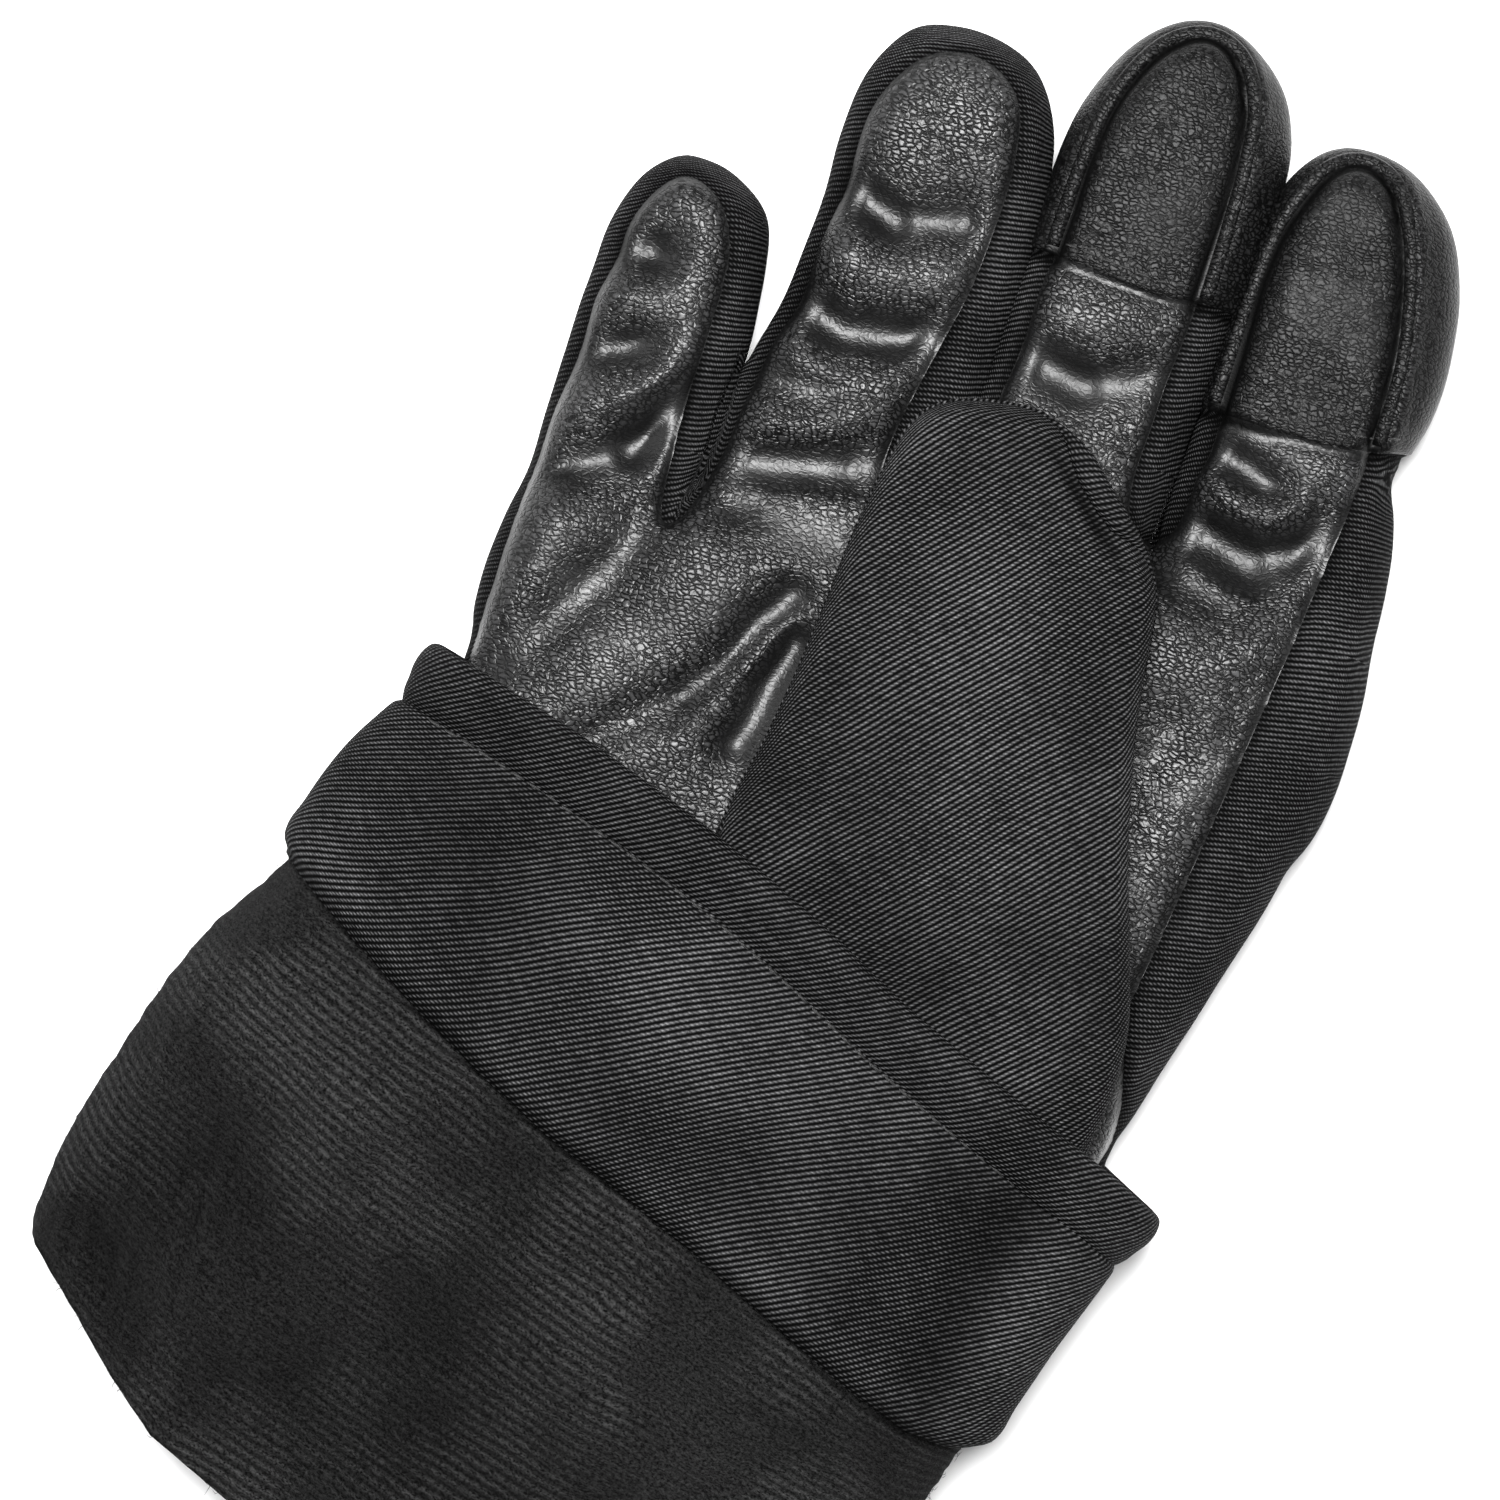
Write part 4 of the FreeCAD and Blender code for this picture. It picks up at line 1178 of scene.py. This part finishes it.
def hem_rows(t):
    """From under the rolled hem, up over its crest and down to the stitched groove."""
    curve = smooth_path(HEM_PROFILE, 0.4)
    length = length_along(curve)
    below = np.interp(t * length[-1], length, curve[:, 0])
    sunk = np.interp(t * length[-1], length, curve[:, 1])

    def v_of(u):
        return against(HEM_EDGE, u) - below

    return CUFF_CENTRE, HALF + 1.2 - 0.45 * sunk, min(0.35 * sunk, 2.5), HEM_CREST - sunk, 5.2, v_of


def hem_crease(u, v, up, points):
    return 0.5 * cloth_noise(points, 16.0, 11) * np.clip(up + 0.3, 0, 1)


FACING_FOLDS = [
    (-60, -18, -30, -30, 9, 0.7), (-20, -22, 18, -26, 12, -0.8), (-4, -46, -16, -30, 7, 0.6),
    (40, -46, 34, -30, 7, 0.8), (56, -16, 62, -50, 5, 1.6), (20, -44, 16, -34, 7, 0.5),
    (66, -18, 74, -44, 6, -0.8), (44, -14, 52, -22, 5, 0.8),
]


def facing_rows(t):
    def v_of(u):
        top = against(HEM_EDGE, u) - 10.0
        return top + (against(FACING_EDGE, u) - top) * t

    bulge = 1.1 * math.sin(math.pi * t)
    half = HALF - 0.4 + 0.8 * t + bulge
    return CUFF_CENTRE - bulge, half, 0.8, FACING_TOP - 0.2, 5.0, v_of


def facing_crease(u, v, up, points):
    seam_v = against(HEM_EDGE, u) - GROOVE_BELOW_HEM
    groove = -0.9 * np.exp(-((v - seam_v) / 1.0) ** 2)
    edge = against(FACING_EDGE, u)
    roll = -1.5 * np.exp(-((v - edge) / 1.3) ** 2) + 0.5 * np.exp(-((v - edge - 4.5) / 2.8) ** 2)
    noise_sum = cloth_noise(points, 26.0, 12) * 0.8 + cloth_noise(points, 9.0, 13) * 0.18
    return groove + roll + noise_sum - bumps(u, v, FACING_FOLDS) * np.clip(up, 0, 1)


LINING_FOLDS = [
    (-70, -60, -40, -70, 10, -1.2), (-60, -92, -10, -84, 9, 1.6), (10, -70, 50, -80, 12, -1.0),
    (-20, -110, 30, -104, 12, 1.4), (-66, -106, -50, -118, 6, 1.4), (40, -100, 60, -90, 9, 1.0),
]
# the pulled-out lining's left and right ends down its length, and v of its wavy mouth against u
LINING_SIDES = [(0.0, -76.0, 74.5), (0.15, -77.6, 74.8), (0.3, -79.9, 75.2), (0.5, -80.8, 75.2),
                (0.74, -80.0, 75.0), (0.88, -78.2, 74.2), (0.97, -75.6, 72.6), (1.0, -73.4, 71.0)]
LINING_MOUTH = [(-80, -112), (-76, -115.5), (-72, -117.8), (-66, -119.6), (-58, -122.2), (-48, -126),
                (-36, -130), (-19, -131), (0, -131.4), (20, -130), (40, -126.6), (56, -121),
                (68, -115), (74, -109)]


def lining_rows(t):
    steps, lefts, rights = zip(*LINING_SIDES)
    left, right = np.interp(t, steps, lefts), np.interp(t, steps, rights)
    centre, half = (left + right) / 2, (right - left) / 2

    def v_of(u):
        mouth = against(LINING_MOUTH, u + centre)
        top = against(FACING_EDGE, u + centre) + 6.0
        return top + (mouth - top) * t

    sag = 6.0 * max(0.0, t - 0.25) ** 1.5
    return centre, half, 0.4, LINING_TOP - 1.6 - sag, 4.2, v_of


def lining_crease(u, v, up, points):
    rumples = cloth_noise(points, 34.0, 21) * 2.0 + cloth_noise(points, 11.0, 22) * 0.5
    nap = cloth_noise(points, 2.6, 23) * 0.25
    course = 0.10 * np.sin(v * 2 * math.pi / FLEECE_COURSE)
    rumples = rumples * (0.3 + 0.7 * np.clip(up, 0, 1))
    return rumples - 1.2 + nap + course - bumps(u, v, LINING_FOLDS)


def inner_rows(t):
    def v_of(u):
        top = against(HEM_EDGE, u) - 3.0
        return top + (against(FACING_EDGE, u) + 1.0 - top) * t

    return CUFF_CENTRE, HALF - 4.0, 3.4, FACING_TOP - 4.4, 5.0, v_of


def no_crease(u, v, up, points):
    return np.zeros_like(u)


def build_cuff():
    """The hem, the band, the cloth inside them and the lining; gives the band and the lining."""
    tube("hem_roll", hem_rows, TWILL_HEM, "twill", "cuff_hem_roll", hem_crease, thick=0.9)
    band = tube("cuff_band", facing_rows, TWILL_CUFF, "twill", "cuff_facing", facing_crease)
    tube("cuff_inner_cloth", inner_rows, TWILL_CUFF, "twill", "cuff_shell", no_crease)
    lining = tube("pulled_lining", lining_rows, FLEECE, "fleece_lining", "cuff_lining",
                  lining_crease, thick=2.4, depth=0.13)
    return band, lining


def build_fuzz(lining, count=2600):
    """Stray fibres that stand off the brushed lining, as one piece."""
    draw = np.random.RandomState(11)
    faces = [face for face in lining.data.polygons if face.index % 2 == 0 and face.normal.z > -0.2]
    picks = draw.choice(len(faces), count // (1), replace=False)
    points, triangles = [], []
    for pick in picks:
        root = from_frame(faces[pick].center)
        out = np.array(faces[pick].normal)
        if root[2] < 1.0:
            continue
        lean = draw.normal(size=3)
        lean -= out * lean.dot(out)
        lean /= np.linalg.norm(lean)
        long = draw.uniform(0.8, 2.2)
        spine = [root - out * 0.2, root + out * 0.35 * long + lean * 0.35 * long,
                 root + out * draw.uniform(0.2, 0.5) * long + lean * long]
        side = np.cross(lean, out)
        base = len(points)
        for place, wide in zip(spine, (0.05, 0.045, 0.012)):
            points += [place + side * wide, place - side * wide, place + out * wide * 1.5]
        for a, b in ((0, 1), (1, 2), (2, 0)):
            for ring in (base, base + 3):
                triangles += [(ring + a, ring + b, ring + 3 + b),
                              (ring + a, ring + 3 + b, ring + 3 + a)]
        triangles += [(base + 2, base + 1, base), (base + 6, base + 7, base + 8)]
    points = np.array(points)
    obj = new_mesh("lining_stray_fibres", points, np.array(triangles), points, None, FLEECE)
    stands_for(obj, "fleece_lining")
    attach(obj, "hand")


# ------------------------------------------------------------------ thread and cap edges

def surface_tree(*objects):
    points, faces = [], []
    for obj in objects:
        base = len(points)
        points += [vertex.co.copy() for vertex in obj.data.vertices]
        faces += [tuple(base + n for n in face.vertices) for face in obj.data.polygons]
    return BVHTree.FromPolygons(points, faces)


def dropped(tree, path, lift):
    """A plan path laid on a surface from above."""
    out = []
    for place in to_frame(np.column_stack([path, np.full(len(path), 90.0)])):
        hit, _, _, _ = tree.ray_cast(Vector(place), Vector((0, 0, -1)))
        if hit is not None:
            out.append(from_frame(hit) + (0, 0, lift))
    return np.array(out)


def stitches(name, path, node, pitch=3.3, long=2.5, radius=0.26, sink=0.3):
    """Thread bars that dive into the cloth at both ends, joined as one piece."""
    length = length_along(path)
    points, quads = [], []
    sides, stations = 6, 6
    arch = np.sin(np.linspace(0, math.pi, stations))
    size = radius * (0.55 + 0.45 * arch)
    for start in np.arange(pitch / 2, length[-1] - long, pitch):
        at = start + np.linspace(0, long, stations)
        line = np.stack([np.interp(at, length, path[:, n]) for n in range(3)], 1)
        line[:, 2] += radius * 1.1 * arch - sink
        side, lift = side_and_lift(line)
        quads += ring_quads(len(points) * stations * sides, stations, sides)
        points.append(np.stack([
            line + side * (size * math.cos(angle))[:, None] + lift * (size * math.sin(angle))[:, None]
            for angle in np.linspace(0, 2 * math.pi, sides, endpoint=False)], 1).reshape(-1, 3))
    obj = new_mesh(name, np.concatenate(points), halves(np.array(quads)), None, None, THREAD)
    return stands_for(obj, "thread", node)


# the rolled edge of each touch cap, and how far its hem's stitches stay from the two ends
CAP_EDGES = {
    "middle": [(-4.6, 89.5), (-4.5, 106), (-3, 117.5), (1.4, 127.2), (8, 131.6), (14.8, 129.8),
               (19.5, 122.6), (21.4, 112), (22.2, 100), (22.6, 89.5)],
    "index": [(29.8, 74), (29.6, 96), (30.6, 107.5), (34.3, 116.8), (40, 120.4), (46.4, 118.2),
              (51.2, 110.4), (54.9, 100), (57.2, 89), (57.9, 76)],
}
CAP_HEM_ENDS = {"middle": (5.5, 9.0), "index": (5.5, 4.0)}


def build_cuff_stitching(band):
    u = np.linspace(-72, 58, 260)
    line = cuff_point(u, against(HEM_EDGE, u) - STITCHES_BELOW_HEM, u * 0)[:, :2]
    row = stitches("cuff_topstitching", dropped(surface_tree(band), line, 0.15), "cuff_stitching")
    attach(row, "hand")


def build_cap_edge(name):
    """A touch cap's rolled edge and the stitches of its hem."""
    tree = surface_tree(bpy.data.objects[f"{name}_upper_front"],
                        bpy.data.objects[f"{name}_upper_sides"])
    line = dropped(tree, smooth_path(CAP_EDGES[name]), -0.25)
    edge = sweep(f"{name}_cap_rolled_edge", line, 2.6, 1.8, LEATHER_CAP)
    stands_for(edge, "cap_leather", f"{name}_cap_welt")
    hem = FINGERS[name][2]
    left, right = CAP_HEM_ENDS[name]
    x = np.linspace(hem[0][0] + left, hem[-1][0] - right, 120)
    line = np.column_stack([x, against(hem, x) + 2.3])
    row = stitches(f"{name}_cap_thread", dropped(tree, line, 0.1), f"{name}_cap_stitching")
    for obj in (edge, row):
        bend(obj)


# ------------------------------------------------------------------ stage

# name, place in metres, size in metres, power in watts
LAMPS = [("over", (-0.12, 0.24, 1.5), 0.5, 64.0), ("left", (-1.2, 0.3, 0.8), 0.7, 4.0),
         ("right", (1.1, 0.2, 1.0), 0.8, 2.5)]
CAMERA_TURN = math.radians(19.5)
CAMERA_OVER = (-24.1, -6.8)
CAMERA_HEIGHT, VIEW_WIDTH, SENSOR_WIDTH = 1.15, 0.250, 36


def build_stage():
    bpy.ops.mesh.primitive_plane_add(size=6, location=(0, 0, -0.0005))
    floor = bpy.context.object
    floor.name = "floor"
    paper = Graph("paper", (0.93,) * 3, 0.9, Specular_IOR_Level=0.1).material
    floor.data.materials.append(paper)
    scene = bpy.context.scene
    world = bpy.data.worlds.new("studio")
    world.use_nodes = True
    world.node_tree.nodes["Background"].inputs["Color"].default_value = (1, 1, 1, 1)
    world.node_tree.nodes["Background"].inputs["Strength"].default_value = 0.10
    scene.world = world
    scene.view_settings.view_transform = "Standard"
    for name, place, size, power in LAMPS:
        light = bpy.data.lights.new(name, "AREA")
        light.size = size
        light.energy = power
        lamp = bpy.data.objects.new(name, light)
        scene.collection.objects.link(lamp)
        lamp.location = place
        lamp.rotation_euler = (-Vector(place)).to_track_quat("-Z", "Y").to_euler()


def build_camera():
    """Straight down on the glove, turned so that its fingers lean to the right."""
    data = bpy.data.cameras.new("camera")
    data.sensor_width = SENSOR_WIDTH
    data.lens = SENSOR_WIDTH * CAMERA_HEIGHT / VIEW_WIDTH
    camera = bpy.data.objects.new("camera", data)
    x, y = CAMERA_OVER
    camera.location = ((x + SHIFT[0]) * MM, (y + SHIFT[1]) * MM, 0.025 + CAMERA_HEIGHT)
    camera.rotation_euler = (0, 0, CAMERA_TURN)
    bpy.context.scene.collection.objects.link(camera)
    bpy.context.scene.camera = camera


build_camera()
build_hand()
for finger in FINGERS:
    build_finger(finger)
build_thumb()
cuff_band, pulled_lining = build_cuff()
build_fuzz(pulled_lining)
for finger in CAP_EDGES:
    build_cap_edge(finger)
build_cuff_stitching(cuff_band)
build_stage()
